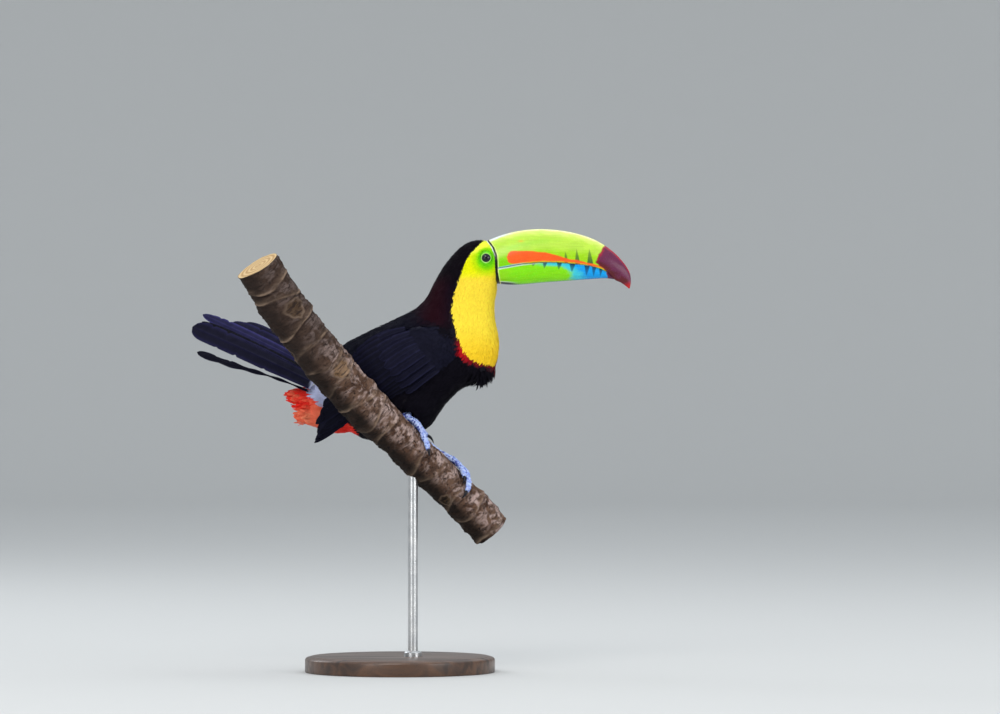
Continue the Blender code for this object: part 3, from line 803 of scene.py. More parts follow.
def sprinkle(points, spacing):
    # keeps the points, in their order, that stay clear of those kept before
    size = float(spacing.max())
    cells, kept = {}, []
    around = [(i, j, k) for i in (-1, 0, 1) for j in (-1, 0, 1) for k in (-1, 0, 1)]
    keys = np.floor(points / size).astype(int).tolist()
    for i, ((x, y, z), (a, b, c), gap) in enumerate(zip(points.tolist(), keys, spacing.tolist())):
        near = (q for da, db, dc in around for q in cells.get((a + da, b + db, c + dc), ()))
        if all((qx - x) ** 2 + (qy - y) ** 2 + (qz - z) ** 2 >= gap * gap for qx, qy, qz in near):
            cells.setdefault((a, b, c), []).append((x, y, z))
            kept.append(i)
    return np.array(kept)


def scatterRoots(s):
    draw = np.random.default_rng(s["seed"])
    corners = skinPoints[skinQuads]
    diagonals = np.cross(corners[:, 2] - corners[:, 0], corners[:, 3] - corners[:, 1])
    area = 0.5 * np.linalg.norm(diagonals, axis=1)
    regionOfPoint = coatRegion(skinPoints, skinOwner)
    dense = np.array([1.0 / coatSizes[n][0] ** 2 for n in coatNames])[regionOfPoint[skinQuads[:, 0]]]
    weight = area * dense
    pick = draw.choice(len(skinQuads), size=s["candidates"], p=weight / weight.sum())
    a, b = draw.random((2, s["candidates"], 1))
    q = corners[pick]
    spots = (q[:, 0] * (1 - a) + q[:, 1] * a) * (1 - b) + (q[:, 3] * (1 - a) + q[:, 2] * a) * b
    region = regionOfPoint[skinQuads[pick, 0]]
    spacing = np.array([coatSizes[n][0] for n in coatNames])[region]
    kept = sprinkle(spots, spacing)
    return spots[kept], region[kept], quadNormals[pick[kept]]


def layVanes(roots, ways, normals, length, half, rise, crown, shape, cling, wander):
    # walks each vane over the skin and returns points, faces, and per-point across, along and number
    if shape == "tuft":
        rows = np.array((0.0, 0.34, 0.66, 0.88, 1.0))
        wide = np.array((0.6, 0.96, 0.96, 0.62, 0.08))
        across = np.array((-1.0, 0.0, 1.0))
    else:
        rows = np.array((0.0, 0.25, 0.5, 0.72, 0.88, 0.97, 1.0))
        wide = np.array((0.5, 0.86, 1.0, 0.96, 0.74, 0.42, 0.1))
        across = np.array((-1.0, -0.5, 0.0, 0.5, 1.0))
    count, columns = len(roots), len(across)
    bulge = (1 - across**2)
    grid = np.zeros((count, len(rows), columns, 3))
    centre, way, normal = roots.copy(), ways.copy(), normals.copy()
    last = 0.0
    for k, t in enumerate(rows):
        if t > 0:
            ahead = centre + way * (length * (t - last))[:, None]
            spot, fresh = snap(ahead)
            centre = ahead + (spot - ahead) * cling[:, None]
            normal = unit(normal + (fresh - normal) * cling[:, None])
            way = squareTo(way, normal)
            last = t
        flat = np.cross(normal, way)
        height = -coatLook["rootSink"] + (rise + coatLook["rootSink"]) * t**0.8
        for j, a in enumerate(across):
            up = height + crown * bulge[j] * (0.35 + 0.65 * math.sin(math.pi * min(t + 0.15, 1.0)))
            grid[:, k, j] = (centre + flat * (half * wide[k] * a)[:, None]
                             + normal * up[:, None] + flat * (wander * t * t)[:, None])
    block = len(rows) * columns
    top = lattice(len(rows), columns)[:, ::-1]
    edge = np.arange(len(rows) - 1) * columns
    under = np.stack([edge, edge + columns - 1, edge + 2 * columns - 1, edge + columns], axis=1)
    quads = np.concatenate([top, under])
    caps = np.stack([np.arange(columns), block - 1 - np.arange(columns)])
    shift = (np.arange(count) * block)[:, None, None]
    faces = [(quads[None] + shift).reshape(-1, 4), (caps[None] + shift).reshape(-1, columns)]
    alongs = np.tile(np.repeat(rows, columns), count)
    acrosses = np.tile(np.tile(across, len(rows)), count)
    number = np.repeat(np.arange(count), block)
    return grid.reshape(-1, 3), faces, acrosses, alongs, number


def patchMap(made, rootMap, number, across, along):
    # the baking map: a small patch for each tuft or feather, at its root's place
    patch = coatLook["bakePatch"]
    setMap(made, "OFBake", np.stack([rootMap[number, 0] + across * patch / 2,
                                     rootMap[number, 1] + (along - 0.5) * patch], axis=1))


def coatPiece(name, region, roots, ways, normals, tone, cling, scale, wander, paint, rootMap, draw):
    _, length, half, rise, crown, shape = coatSizes[region]
    count = len(roots)
    lengths = length * scale * draw.uniform(*coatLook["lengthVary"], count)
    halves = half * (0.35 + 0.65 * scale) * draw.uniform(*coatLook["widthVary"], count)
    rises = rise * draw.uniform(*coatLook["riseVary"], count)
    points, faces, across, along, number = layVanes(
        roots, ways, normals, lengths, halves, rises, crown, shape, cling, wander)
    made = toMesh(name, points, faces, materials=[paint])
    made.data.set_sharp_from_angle(angle=math.radians(coatLook["sharp"]))
    # each tuft's tone varies at random, and painted shade darkens it towards its root, where the tufts
    # before it overlap
    shade = (0.94 + 0.12 * draw.random(count))[number] * (0.9 + 0.12 * ease(along, 0.0, 0.75))
    setColour(made, "plumage", np.clip(tone[number] * shade[:, None], 0, 1))
    setMap(made, "barbs", np.stack([across * 0.5 + 0.5, along + number * 0.37 % 1.0], axis=1))
    patchMap(made, rootMap, number, across, along)
    return made


def hiddenByWing(p, normals, regions):
    # roots on a wing's outer face that lie under the flight feathers, or on its thin rear edge
    outward = normals[:, 1] * np.sign(p[:, 1] - side(p[:, 0]))
    edge = (p[:, 0] < -72) | (p[:, 0] < -50) & (np.abs(outward) < 0.75)
    return inCoat(regions, "wing") & ((outward > 0.1) & (p[:, 0] < 2.0) | edge)


def skinMapOf(p):
    # place on an unwrap of the skin: along the body's middle line, and around it
    along, _, around = axisOf(p)
    return np.stack([0.02 + 0.96 * along, 0.02 + 0.96 * (around / (2 * math.pi) + 0.5)], axis=1)


def wingMapOf(p):
    # a wing is unwrapped by itself: along its fold and across it
    x, z = p[:, 0], p[:, 2]
    along = (60.0 - x) * 0.8 + (340.0 - z) * 0.6
    across = (x - 60.0) * -0.6 + (z - 340.0) * 0.8
    return np.stack([0.04 + 0.92 * along / 190.0, 0.5 + across / 130.0], axis=1)


coatPaints = {"face": (brightCoat, "face"), "bib": (brightCoat, "bib"), "nape": (blackCoat, "body"),
              "back": (blackCoat, "body"), "breast": (blackCoat, "body"), "belly": (blackCoat, "body"),
              "thigh": (blackCoat, "body"), "rump": (rumpCoat, "undertail"), "vent": (ventCoat, "undertail"),
              "wing": (wingCoat, "wing")}


def clearRoots():
    # where tufts grow: not on the eye rings, nor under the flight feathers
    roots, regions, normals = scatterRoots(coatLook)
    bare = (fromEye(roots) < coatLook["eyeClear"]) & inCoat(regions, "face")
    bare |= hiddenByWing(roots, normals, regions)
    return roots[~bare], regions[~bare], normals[~bare]


def combWays(roots, regions, normals, hairs, draw):
    # the lie of the coat, with the bib's edge hairs combed back and each tuft turned a little
    ways = lieAt(roots, regions) + np.array((-0.55, 0.0, 0.0)) * hairs[:, None]
    yaw = draw.normal(0, coatLook["yaw"], len(roots))
    flat = np.cross(normals, ways)
    return squareTo(ways * np.cos(yaw)[:, None] + flat * np.sin(yaw)[:, None], normals)


def coatScale(roots, regions, hairs, draw):
    # each tuft's size as a share of its coat's own
    x, z = roots[:, 0], roots[:, 2]
    scale = np.ones(len(roots)) + 0.5 * hairs * draw.random(len(roots))
    for name, change in (("face", 0.72 + 0.5 * ease(fromEye(roots), 8, 22)),
                         ("bib", 0.62 + 0.5 * (1 - ease(z, 345, 398))),
                         ("nape", 0.55 + 0.75 * (1 - ease(z, 360, 425))),
                         ("wing", 0.6 + 1.0 * ease(60 - x, 0, 90)),
                         ("vent", 0.7 + 0.55 * draw.random(len(roots))),
                         ("thigh", 1 + 0.45 * ease(266 - z, 0, 16))):
        scale *= np.where(inCoat(regions, name), change, 1.0)
    return scale


def layCoat(s):
    draw = np.random.default_rng(s["turnSeed"])
    roots, regions, normals = clearRoots()
    x, z = roots[:, 0], roots[:, 2]
    bibGap = signedDistance(x, z, bibOutline)
    hairs = np.exp(-(bibGap / s["hairReach"]) ** 2) * (bibGap > -0.2) * (x < 61) * (z < 356)
    ways = combWays(roots, regions, normals, hairs, draw)
    # each tuft takes the marking's colour at a place along its length
    reach = np.array([coatSizes[name][1] * colourPlaces.get(name, s["colourPlace"]) for name in coatNames])
    tips = roots + ways * reach[regions][:, None]
    tones = markColour(tips)
    tones[inCoat(regions, "wing")] = markTones["wing"]
    scale = coatScale(roots, regions, hairs, draw)
    vent = inCoat(regions, "vent")
    rear = vent * np.maximum(ease(-104 - x, 0, 7), ease(-normals[:, 0], 0.15, 0.6) * ease(-84 - x, 0, 6))
    cling = np.where(vent, 0.75 - 0.65 * rear, np.where(inCoat(regions, "rump"), 0.7, 0.92))
    # a loose tassel of hairs hangs from the front of the breast
    dark = signedDistance(tips[:, 0], tips[:, 2], bibOutline) < -2.0
    tassel = ease(x, 60, 80) * ease(s["tasselBelow"] - z, 0, 5) * dark
    loose = tassel * draw.random(len(roots))
    scale *= 1 + 0.6 * loose**2
    cling -= 0.88 * np.maximum(loose, tassel * (x > 80))
    hang = (s["tasselHang"] * tassel)[:, None]
    ways = unit(ways * (1 - hang) + np.array((0.02, 0.0, -1.0)) * hang)
    normals = squareTo(normals, ways)
    # the undertail ends in loose pointed strands
    lean = math.radians(s["strandLean"]) * rear * draw.uniform(0.5, 1.0, len(roots))
    up, on = np.cos(lean)[:, None], np.sin(lean)[:, None]
    ways, normals = ways * up + normals * on, normals * up - ways * on
    wander = draw.normal(0, s["wander"], len(roots))
    for number, name in enumerate(coatNames):
        mine = regions == number
        paint, slot = coatPaints[name]
        toMap = wingMapOf if name == "wing" else skinMapOf
        made = coatPiece(name + "Coat", name, roots[mine], ways[mine], normals[mine], tones[mine],
                         cling[mine], scale[mine], wander[mine], paint, toMap(roots[mine]), draw)
        finishPiece(made, slot)


skin.data.materials.append(skinPaint)
finishPiece(skin, "body", *fleshNodes)
layCoat(coatLook)
print("stage: coat laid")


# the bill: two horn mandibles with their marks

# ridge X Z, gape X Z, half-width, from the face to the hooked tip
upperRows = ((87, 431.2, 96, 403.4, 17), (103, 437.6, 109, 405.9, 17.3), (121, 441.7, 123, 408.3, 16.8),
             (140, 443.2, 141, 409.9, 15.8), (160, 441.9, 158, 409.8, 14.4), (180, 437.9, 175, 408.4, 12.8),
             (198, 431, 190, 406.6, 11), (213, 421, 202, 403.2, 9), (224, 409.6, 209.5, 399, 6.8),
             (230, 399.5, 215, 392.9, 4.4), (231.2, 391, 222, 389.4, 2.4), (230.2, 383.6, 229.2, 383.9, 0.7))
ridgeRows = upperRows[:10]     # the ridge up to where the hook turns down
# gape X, underside X Z, half-width
lowerRows = ((96, 98, 388.4, 15.8), (116, 116, 387.3, 15.6), (141, 145, 389.7, 14.2),
             (166, 168, 391.4, 12.2), (188, 189, 392.9, 9.8), (204, 205, 393.8, 6.8),
             (213.8, 214.2, 393, 2.6))
billRoot = ((388, 97.9), (400.6, 95.8), (410, 95.6), (417, 95), (424.5, 92.2), (431.8, 87))

billLook = {
    "rings": 360,
    "steps": 70,
    "tuck": 1.6,            # how far the horn runs in under the face
    "toothDepth": 0.55,     # serrations along the cutting edges
    "toothPitch": 5.6,
    "gap": 0.45,            # between the two cutting edges
    "bandWidth": 2.1,       # the black band against the face
    "roughness": 0.27,
    # roundness of the section, height of the teeth, lift of the edge at the tip
    "upperForm": (0.62, 0.5, -0.25),
    "lowerForm": (0.5, 0.35, 0.3),
    "tone": 0.93,           # share of the painted tones kept
    "orange": smoothLine(((106.8, 414.5), (108.6, 419.2), (113, 421), (131, 421), (149, 418.9), (166, 414),
                          (182, 410.9), (199, 406.6), (206, 402), (199, 404.6), (182, 408.4), (166, 410.4),
                          (150, 410.8), (131, 410.2), (114, 408.4), (108.6, 409.4), (106.8, 414.5)),
                         np.linspace(0, 15.9, 96)),
    "tip": ((207, 432), (201.5, 421), (197, 414.5), (196, 410), (199.5, 406), (206, 401.5),
            (207.5, 396), (206, 380), (240, 370), (250, 420), (225, 445)),
    # foot X, foot Z, rise, half-width
    "upperBars": ((166.2, 411.3, 9.4, 1.9), (177.4, 410.6, 12.6, 2.4), (190.2, 409.6, 13.6, 2.9)),
    "lowerBars": ((133.6, 409, -3.6, 1.9), (145, 409.3, -6, 2.2), (159.5, 409, -6.6, 2.6),
                  (172.6, 408, -8, 3), (187.3, 406.4, -10, 2.7), (194.3, 405.2, -9.4, 2.2),
                  (201.2, 403.4, -7.6, 1.9)),
}

# the ridge tone is a painted highlight along the ridge, and also the pale line in front of the black band
billTones = toneTable(
    lime=(158, 216, 24), leaf=(118, 206, 4), ridge=(244, 246, 168), glow=(180, 221, 70),
    pale=(208, 230, 104), fleck=(240, 170, 40), orange=(246, 92, 34), rim=(250, 120, 36),
    maroon=(100, 34, 72), tipDark=(88, 24, 34), tipRed=(190, 26, 36), bar=(34, 66, 52), black=(6, 7, 10),
    white=(226, 238, 234), green=(132, 228, 0), cyan=(60, 204, 226), blue=(0, 156, 240),
    barBlue=(8, 44, 76), seam=(130, 196, 226),
)


def gapeZ(x):
    return np.interp(x, [r[2] for r in upperRows], [r[3] for r in upperRows])


def rootX(z):
    return np.interp(z, [r[0] for r in billRoot], [r[1] for r in billRoot])


def barMask(x, z, bars):
    # dark wedges that rise from the cutting edge and narrow to a point
    mask = np.zeros(len(x))
    for footX, footZ, rise, half in bars:
        t = (z - footZ) / rise
        reach = half * np.clip(1.0 - t, 0, 1) ** 0.8
        wedge = ease(reach - np.abs(x - footX + 0.8 * t), -0.35, 0.45) * (t > -0.35) * (t < 1.02)
        mask = np.maximum(mask, wedge * (1 - 0.45 * np.clip(t, 0, 1)))
    return mask


def hornRing(near, far, half, power, t):
    # half of a section, from the cutting edge to the ridge or keel
    along = 1.0 - (1.0 - t) ** 1.25
    wide = half * np.maximum(0.0, 1.0 - along**2.2) ** power
    return near[0] + (far[0] - near[0]) * along, wide, near[1] + (far[1] - near[1]) * along


def hornMesh(name, rings, s, form):
    # rings is a list of (near, far, half); each ring runs from the ridge down one side and up the other
    power, tooth, tipLift = form
    t = np.linspace(0, 1, s["steps"] + 1)
    grid = []
    for near, far, half in rings:
        x, wide, z = hornRing(near, far, half, power, t)
        teeth = np.abs((x / s["toothPitch"]) % 1.0 - 0.35) * 2 - 0.6
        edge = np.clip(1 - t / 0.1, 0, 1) * ease(x, 112, 128) * (1 - ease(x, 203, 212))
        z = z + s["toothDepth"] * teeth * edge * tooth
        z += np.clip(1 - t / 0.2, 0, 1) * ease(x, 190, 200) * tipLift
        right = np.stack([x, side(x) - wide, z], axis=1)[::-1]
        left = np.stack([x, side(x) + wide, z], axis=1)[:-1]
        grid.append(np.concatenate([right, left]))
    grid = np.array(grid)
    fit = rootX(grid[0][:, 2]) - s["tuck"] - grid[0][:, 0]
    fade = np.clip(1 - np.arange(len(grid)) / (0.12 * len(grid)), 0, 1) ** 1.5
    grid[:, :, 0] += fade[:, None] * fit[None, :]
    return joinMeshes(name, [closedGrid(grid)])


def faceBand(x, z, width, fade, share):
    # the black band against the face, and a pale line in front of it
    base = x - rootX(z)
    line = ease(base, width, width + 0.3) * (1 - ease(base, width + 0.7, width + fade)) * share
    return ("ridge", line), ("black", 1 - ease(base, width - 0.25, width + 0.25))


def paintUpper(p, s):
    # green sides, paler towards the ridge with a painted highlight along it, three bars, the orange patch,
    # the dark tip and the band at the face
    x, z = p[:, 0], p[:, 2]
    below = np.interp(x, [r[0] for r in ridgeRows], [r[1] for r in ridgeRows]) - z
    over = z - gapeZ(x)
    rough = waves(p, 7.0, 21, 3)
    green = ease(13 - over + 0.12 * (108 - x) + 1.5 * rough, 0, 8) * (1 - ease(x, 110, 150))
    streak = np.exp(-((over - 17 - 0.1 * (x - 100)) / 2.6) ** 2)
    streak = streak * ease(x, 100, 112) * (1 - ease(x, 130, 170))
    orange = signedDistance(x, z, s["orange"]) + 0.25 * rough
    colour = paintOver(
        billTones["lime"], billTones,
        ("glow", ease(over + 1.5 * rough, 7, 17)),
        ("leaf", 0.85 * green),
        ("leaf", 0.35 * streak),
        ("pale", ease(8.5 + rough - below, 0, 6.5)),
        # a painted highlight along the ridge, whiter near the face
        ("ridge", ease(1.9 + 0.3 * rough - below, 0, 1.6) * (1 - ease(x, 198, 208))),
        ("white", ease(2.6 + 0.3 * rough - below, 0, 1.6) * (1 - ease(x, 100, 116))),
        ("fleck", 0.6 * np.exp(-((x - 121) / 2.6) ** 2 - ((z - 431) / 1.1) ** 2)),
        ("bar", 0.85 * barMask(x, z, s["upperBars"])),
        ("orange", ease(orange, -0.55, 0.75)),
        ("rim", 0.75 * ease(1.7 - over, 0, 0.7) * ease(x, 108, 118) * ease(over, 0.3, 0.7)))
    tip = signedDistance(x, z, s["tip"]) + 0.7 * rough
    horn = mix(billTones["maroon"], billTones["tipDark"], ease(9.5 + 2 * rough - over, 0, 7))
    redder = np.maximum(0.75 * ease(3.0 - below, 0, 2.6) * ease(x, 202, 210),
                        ease(391 - z + 0.5 * (x - 226), 0, 7))
    redder = np.maximum(redder, 0.75 * ease(3.5 - tip, 0, 3.5) * ease(z, 400, 418))
    return paintOver(
        mix(colour, horn, ease(tip, -0.9, 0.9)), billTones,
        ("tipRed", 0.85 * redder * ease(tip, -0.4, 0.8)),
        ("seam", ease(1.0 - over, 0, 0.5) * (1 - ease(x, 112, 132))),
        *faceBand(x, z, s["bandWidth"], 1.3, 0.6),
        ("white", (1 - ease(x - rootX(z), -0.15, 0.25)) * ease(z, 413, 423)))


def paintLower(p, s):
    # green to cyan to blue towards the tip, with seven bars and a pale line along the gape
    x, z = p[:, 0], p[:, 2]
    under = gapeZ(x) - z
    above = z - np.interp(x, [r[1] for r in lowerRows], [r[2] for r in lowerRows])
    rough = waves(p, 6.0, 25, 3)
    sweep = x - 1.75 * np.minimum(under, 9.0) + 1.4 * rough
    tip = signedDistance(x, z, s["tip"]) + 0.6 * rough
    return paintOver(
        billTones["green"], billTones,
        ("lime", 0.5 * (1 - ease(x, 100, 116)) + 0.12 * rough),
        ("cyan", ease(sweep, 128, 150) * (1 - ease(under, 2.2, 5.0))),
        ("cyan", ease(sweep, 152, 161)),
        ("blue", ease(sweep, 162, 174)),
        ("barBlue", 0.92 * barMask(x, z, s["lowerBars"])),
        ("maroon", ease(tip, -0.8, 0.8)),
        ("white", 0.85 * (ease(1.9 - under, 0, 0.5) * (1 - ease(x, 118, 150)))),
        ("white", 0.7 * ease(3.0 - above, 0, 0.5) * (1 - ease(x, 106, 120))),
        ("black", ease(2.3 - above, 0, 0.7) * (1 - ease(x, 108, 124))),
        ("barBlue", 0.5 * ease(1.1 - above, 0, 0.6)),
        *faceBand(x, z, s["bandWidth"], 1.2, 0.7))


def makeHornPaint(s):
    # satin horn: faint lengthwise streaks, growth lines and tiny scuffs
    rough = s["roughness"]
    paint, tree, shader = startPaint("billHorn", rough, Coat_Weight=0.08, Coat_Roughness=0.16,
                                     Subsurface_Weight=0.04, Specular_IOR_Level=0.22,
                                     Subsurface_Scale=1.5 * mm)
    streak = stretchedNoise(tree, objectPlace(tree), (60.0, 60.0, 900.0), 3.0)
    cloud = grain(tree, Size=9.0, Detail=3.0, Seed=7.0)
    scuff = grain(tree, Size=1.4, Low=0.55, High=0.75, Detail=4.0, Seed=3.0)
    veins = rangeNode(tree, streak, 0.35, 0.7, 0.0, 0.12)
    first = blendNode(tree, veins, attribute(tree, "horn")["Color"], (0.02, 0.03, 0.0))
    glow = mathNode(tree, "MULTIPLY", cloud, 0.3)
    second = blendNode(tree, glow, first, (0.72, 0.72, 0.55), "SOFT_LIGHT")
    join(tree, second, shader.inputs["Base Color"],
         rangeNode(tree, scuff, 0.0, 1.0, rough, rough + 0.16), shader.inputs["Roughness"])
    addBump(tree, shader, mathNode(tree, "ADD", streak, mathNode(tree, "MULTIPLY", scuff, -0.3)), 0.3, 0.1)
    return paint


def buildBill(s):
    paint = makeHornPaint(s)
    upper = [((r[2], r[3]), (r[0], r[1]), r[4]) for r in smoothRun(upperRows, s["rings"])]
    lower = [((r[0], float(gapeZ(r[0])) - s["gap"]), (r[1], r[2]), r[3])
             for r in smoothRun(lowerRows, int(s["rings"] * 0.8))]
    for name, rings, form, painter, node in (("billUpper", upper, "upperForm", paintUpper, "bill_upper"),
                                             ("billLower", lower, "lowerForm", paintLower, "bill_lower")):
        made = hornMesh(name, rings, s, s[form])
        setColour(made, "horn", s["tone"] * painter(pointsOf(made), s))
        made.data.materials.append(paint)
        made.data.shade_smooth()
        finishPiece(made, node, node)


buildBill(billLook)
print("stage: bill")


# the eyes and their bare rings

eyeLook = {
    "pupil": 2.7,
    "iris": 4.5,
    "opening": 4.75,
    "lidOuter": 8.6,
    "ballGrid": (44, 64),    # rings and columns
    "lidGrid": (26, 120),
    "lidRise": 0.75,         # thickness of the lid's rim over the eyeball
    "pupilTone": srgb(5, 6, 10),
    "irisTone": srgb(20, 26, 46),
    "irisEdge": srgb(8, 10, 18),
    "rimTone": srgb(176, 232, 120),
    "ringTone": srgb(104, 208, 20),
}


def makeEyePaint():
    paint, tree, shader = startPaint("eyeball", 0.07, Coat_Weight=0.3, Coat_Roughness=0.02,
                                     Specular_IOR_Level=0.25)
    flecks = grain(tree, Size=0.5, Detail=2.0, Seed=5.0)
    join(tree, tint(tree, attribute(tree, "iris")["Color"], flecks, 0.4, (0.0, 0.0, 0.004)),
         shader.inputs["Base Color"])
    return paint


def makeEye(name, node, turn, s, paint):
    # a ball whose pole faces outwards, with a slight bulge over the pupil
    rings, columns = s["ballGrid"]
    polar = np.concatenate([np.linspace(0.02, 1.1, 30), np.linspace(1.18, math.pi - 0.05, rings - 30)])
    around = fullTurn(columns)
    reach = eyeRadius * np.sin(polar)
    lift = eyeRadius * np.cos(polar) + 0.35 * np.exp(-((reach / 3.2) ** 2)) * (polar < 1.6)
    x = eyeAt[0] + reach[:, None] * np.cos(around)
    z = eyeAt[1] + reach[:, None] * np.sin(around)
    y = np.broadcast_to(side(eyeAt[0]) + turn * (eyeSide + lift)[:, None], x.shape)
    ball = joinMeshes(name, [closedGrid(np.stack([x, y, z], axis=-1))], [paint])
    r = fromEye(pointsOf(ball))
    colour = paintOver(s["pupilTone"], s, ("irisTone", ease(r, s["pupil"] - 0.15, s["pupil"] + 0.2)),
                       ("irisEdge", ease(r, s["iris"] - 0.9, s["iris"])))
    setColour(ball, "iris", colour)
    finishPiece(ball, "eye", node)


def makeLids(name, turn, s):
    # a fleshy ring whose rim stands over the eyeball and whose outer edge sinks into the skin
    rings, columns = s["lidGrid"]
    around = fullTurn(columns)
    almond = 1 - 0.05 * np.sin(around) ** 2 + 0.03 * np.cos(around)
    t = np.linspace(0, 1, rings)
    inside = s["opening"] - 0.35
    radius = inside * almond[None] + (s["lidOuter"] - inside) * t[:, None] ** 1.15
    x = eyeAt[0] + radius * np.cos(around)
    z = eyeAt[1] + radius * np.sin(around)
    middle = side(eyeAt[0])
    probe = np.stack([x, np.full(x.shape, middle + turn * 40.0), z], axis=-1).reshape(-1, 3)
    hits = [skinTree.ray_cast(q, (0.0, -turn, 0.0), 60.0)[0] for q in probe.tolist()]
    edge = middle + turn * 16.0      # past the face's front edge the ring runs on level
    skinY = np.array([hit[1] if hit else edge for hit in hits])
    ground = turn * (skinY.reshape(x.shape) - middle)
    ballY = eyeSide + np.sqrt(np.maximum(eyeRadius**2 - radius**2, 0.1)) * (radius < eyeRadius)
    rim = ballY[0] + 0.05
    swell = np.sin(np.clip(t * 5.5, 0, math.pi * 0.5))[:, None]
    crest = np.maximum(rim[None] + s["lidRise"] * swell, ground)
    blend = ease(t, 0.16, 0.92)[:, None]
    height = crest * (1 - blend) + (ground - 0.3 * ease(t, 0.8, 1.0)[:, None]) * blend
    height = np.maximum(height, np.where(radius < eyeRadius - 0.02, ballY + 0.4, -100.0))
    folds = 0.1 * np.sin(t[:, None] * 34) * ease(t, 0.25, 0.4)[:, None] * (1 - ease(t, 0.8, 0.95))[:, None]
    beads = 0.1 * np.sin(around * 40) * np.exp(-((t[:, None] - 0.16) / 0.07) ** 2)
    height = height + folds + beads
    inner = np.stack([x[0], middle + turn * (rim - 1.2), z[0]], axis=-1)
    points = np.stack([x, middle + turn * height, z], axis=-1)
    back = points[-1].copy()
    back[:, 1] -= turn * 1.4
    grid = np.concatenate([inner[None], points, back[None]])
    faces = lattice(len(grid), columns, True)
    closing = np.stack([np.arange(columns), np.roll(np.arange(columns), -1)], axis=1)
    last = (len(grid) - 1) * columns
    closing = np.concatenate([closing[:, ::-1], closing + last], axis=1)
    lids = joinMeshes(name, [(grid.reshape(-1, 3), [faces, closing])], [skinPaint])
    p = pointsOf(lids)
    r = fromEye(p)
    colour = mix(s["ringTone"], markColour(p), ease(r, 6.4, 8.2))
    setColour(lids, "plumage", mix(s["rimTone"], colour, ease(r, 4.95, 5.35)))
    setNumber(lids, "bare", np.ones(len(p)))
    finishPiece(lids, "face")


eyePaint = makeEyePaint()
for which, turn in (("right", -1), ("left", 1)):
    makeEye("eyeball_" + which, "eye_" + which, turn, eyeLook, eyePaint)
    makeLids("eyeRing_" + which, turn, eyeLook)
print("stage: eyes")


# the branch, its bark and its sawn ends

perchLine = ((-139, 405), (-118.5, 371), (-97, 340.5), (-47, 279.5), (32, 201.4), (71, 163), (91, 141))
perchHeart = (32.0, 201.4)
perchSlope = 0.28            # drift towards the camera per millimetre of climb


def tracePerch():
    # height up the branch from its heart, and the middle line at each height
    flat = smoothRun(perchLine, 241)
    run = runAlong(flat)
    heart = np.argmin(np.hypot(flat[:, 0] - perchHeart[0], flat[:, 1] - perchHeart[1]))
    climb = run[heart] - run
    order = np.argsort(climb)
    at = np.linspace(climb.min(), climb.max(), 121)
    x, z = readAt(at, climb[order], flat[order]).T
    return at, np.stack([x, -perchSlope * at, z], axis=1)


climbs, hearts = tracePerch()


def perchCentre(s):
    return readAt(s, climbs, hearts)


def perchFrame(s):
    # centre, climb direction, top direction and camera-side direction
    along = unit(perchCentre(s + 4.0) - perchCentre(s - 4.0))
    flat = unit(np.stack([along[..., 2], np.zeros(along.shape[:-1]), -along[..., 0]], axis=-1))
    flat = flat * np.where(flat[..., 2:] < 0, -1.0, 1.0)
    top = squareTo(flat, along)
    near = unit(np.cross(along, top))
    near = near * np.where(near[..., 1:2] > 0, -1.0, 1.0)
    return perchCentre(s), along, top, near


def perchRadius(s):
    rise = np.clip((s - 30.0) / 90.0, 0.0, 1.0)
    return 19.5 + 2.7 * rise * rise * (3 - 2 * rise) + 0.4 * np.sin(s * 0.09 + 0.6)


def onPerch(s, around, lift):
    # points over the bark: s up the branch, degrees round it, height over it
    s, around, lift = np.broadcast_arrays(np.asarray(s, float), around, lift)
    here, _, top, near = perchFrame(s)
    a = np.radians(around)[..., None]
    reach = (perchRadius(s) + lift)[..., None]
    return here + (top * np.cos(a) + near * np.sin(a)) * reach


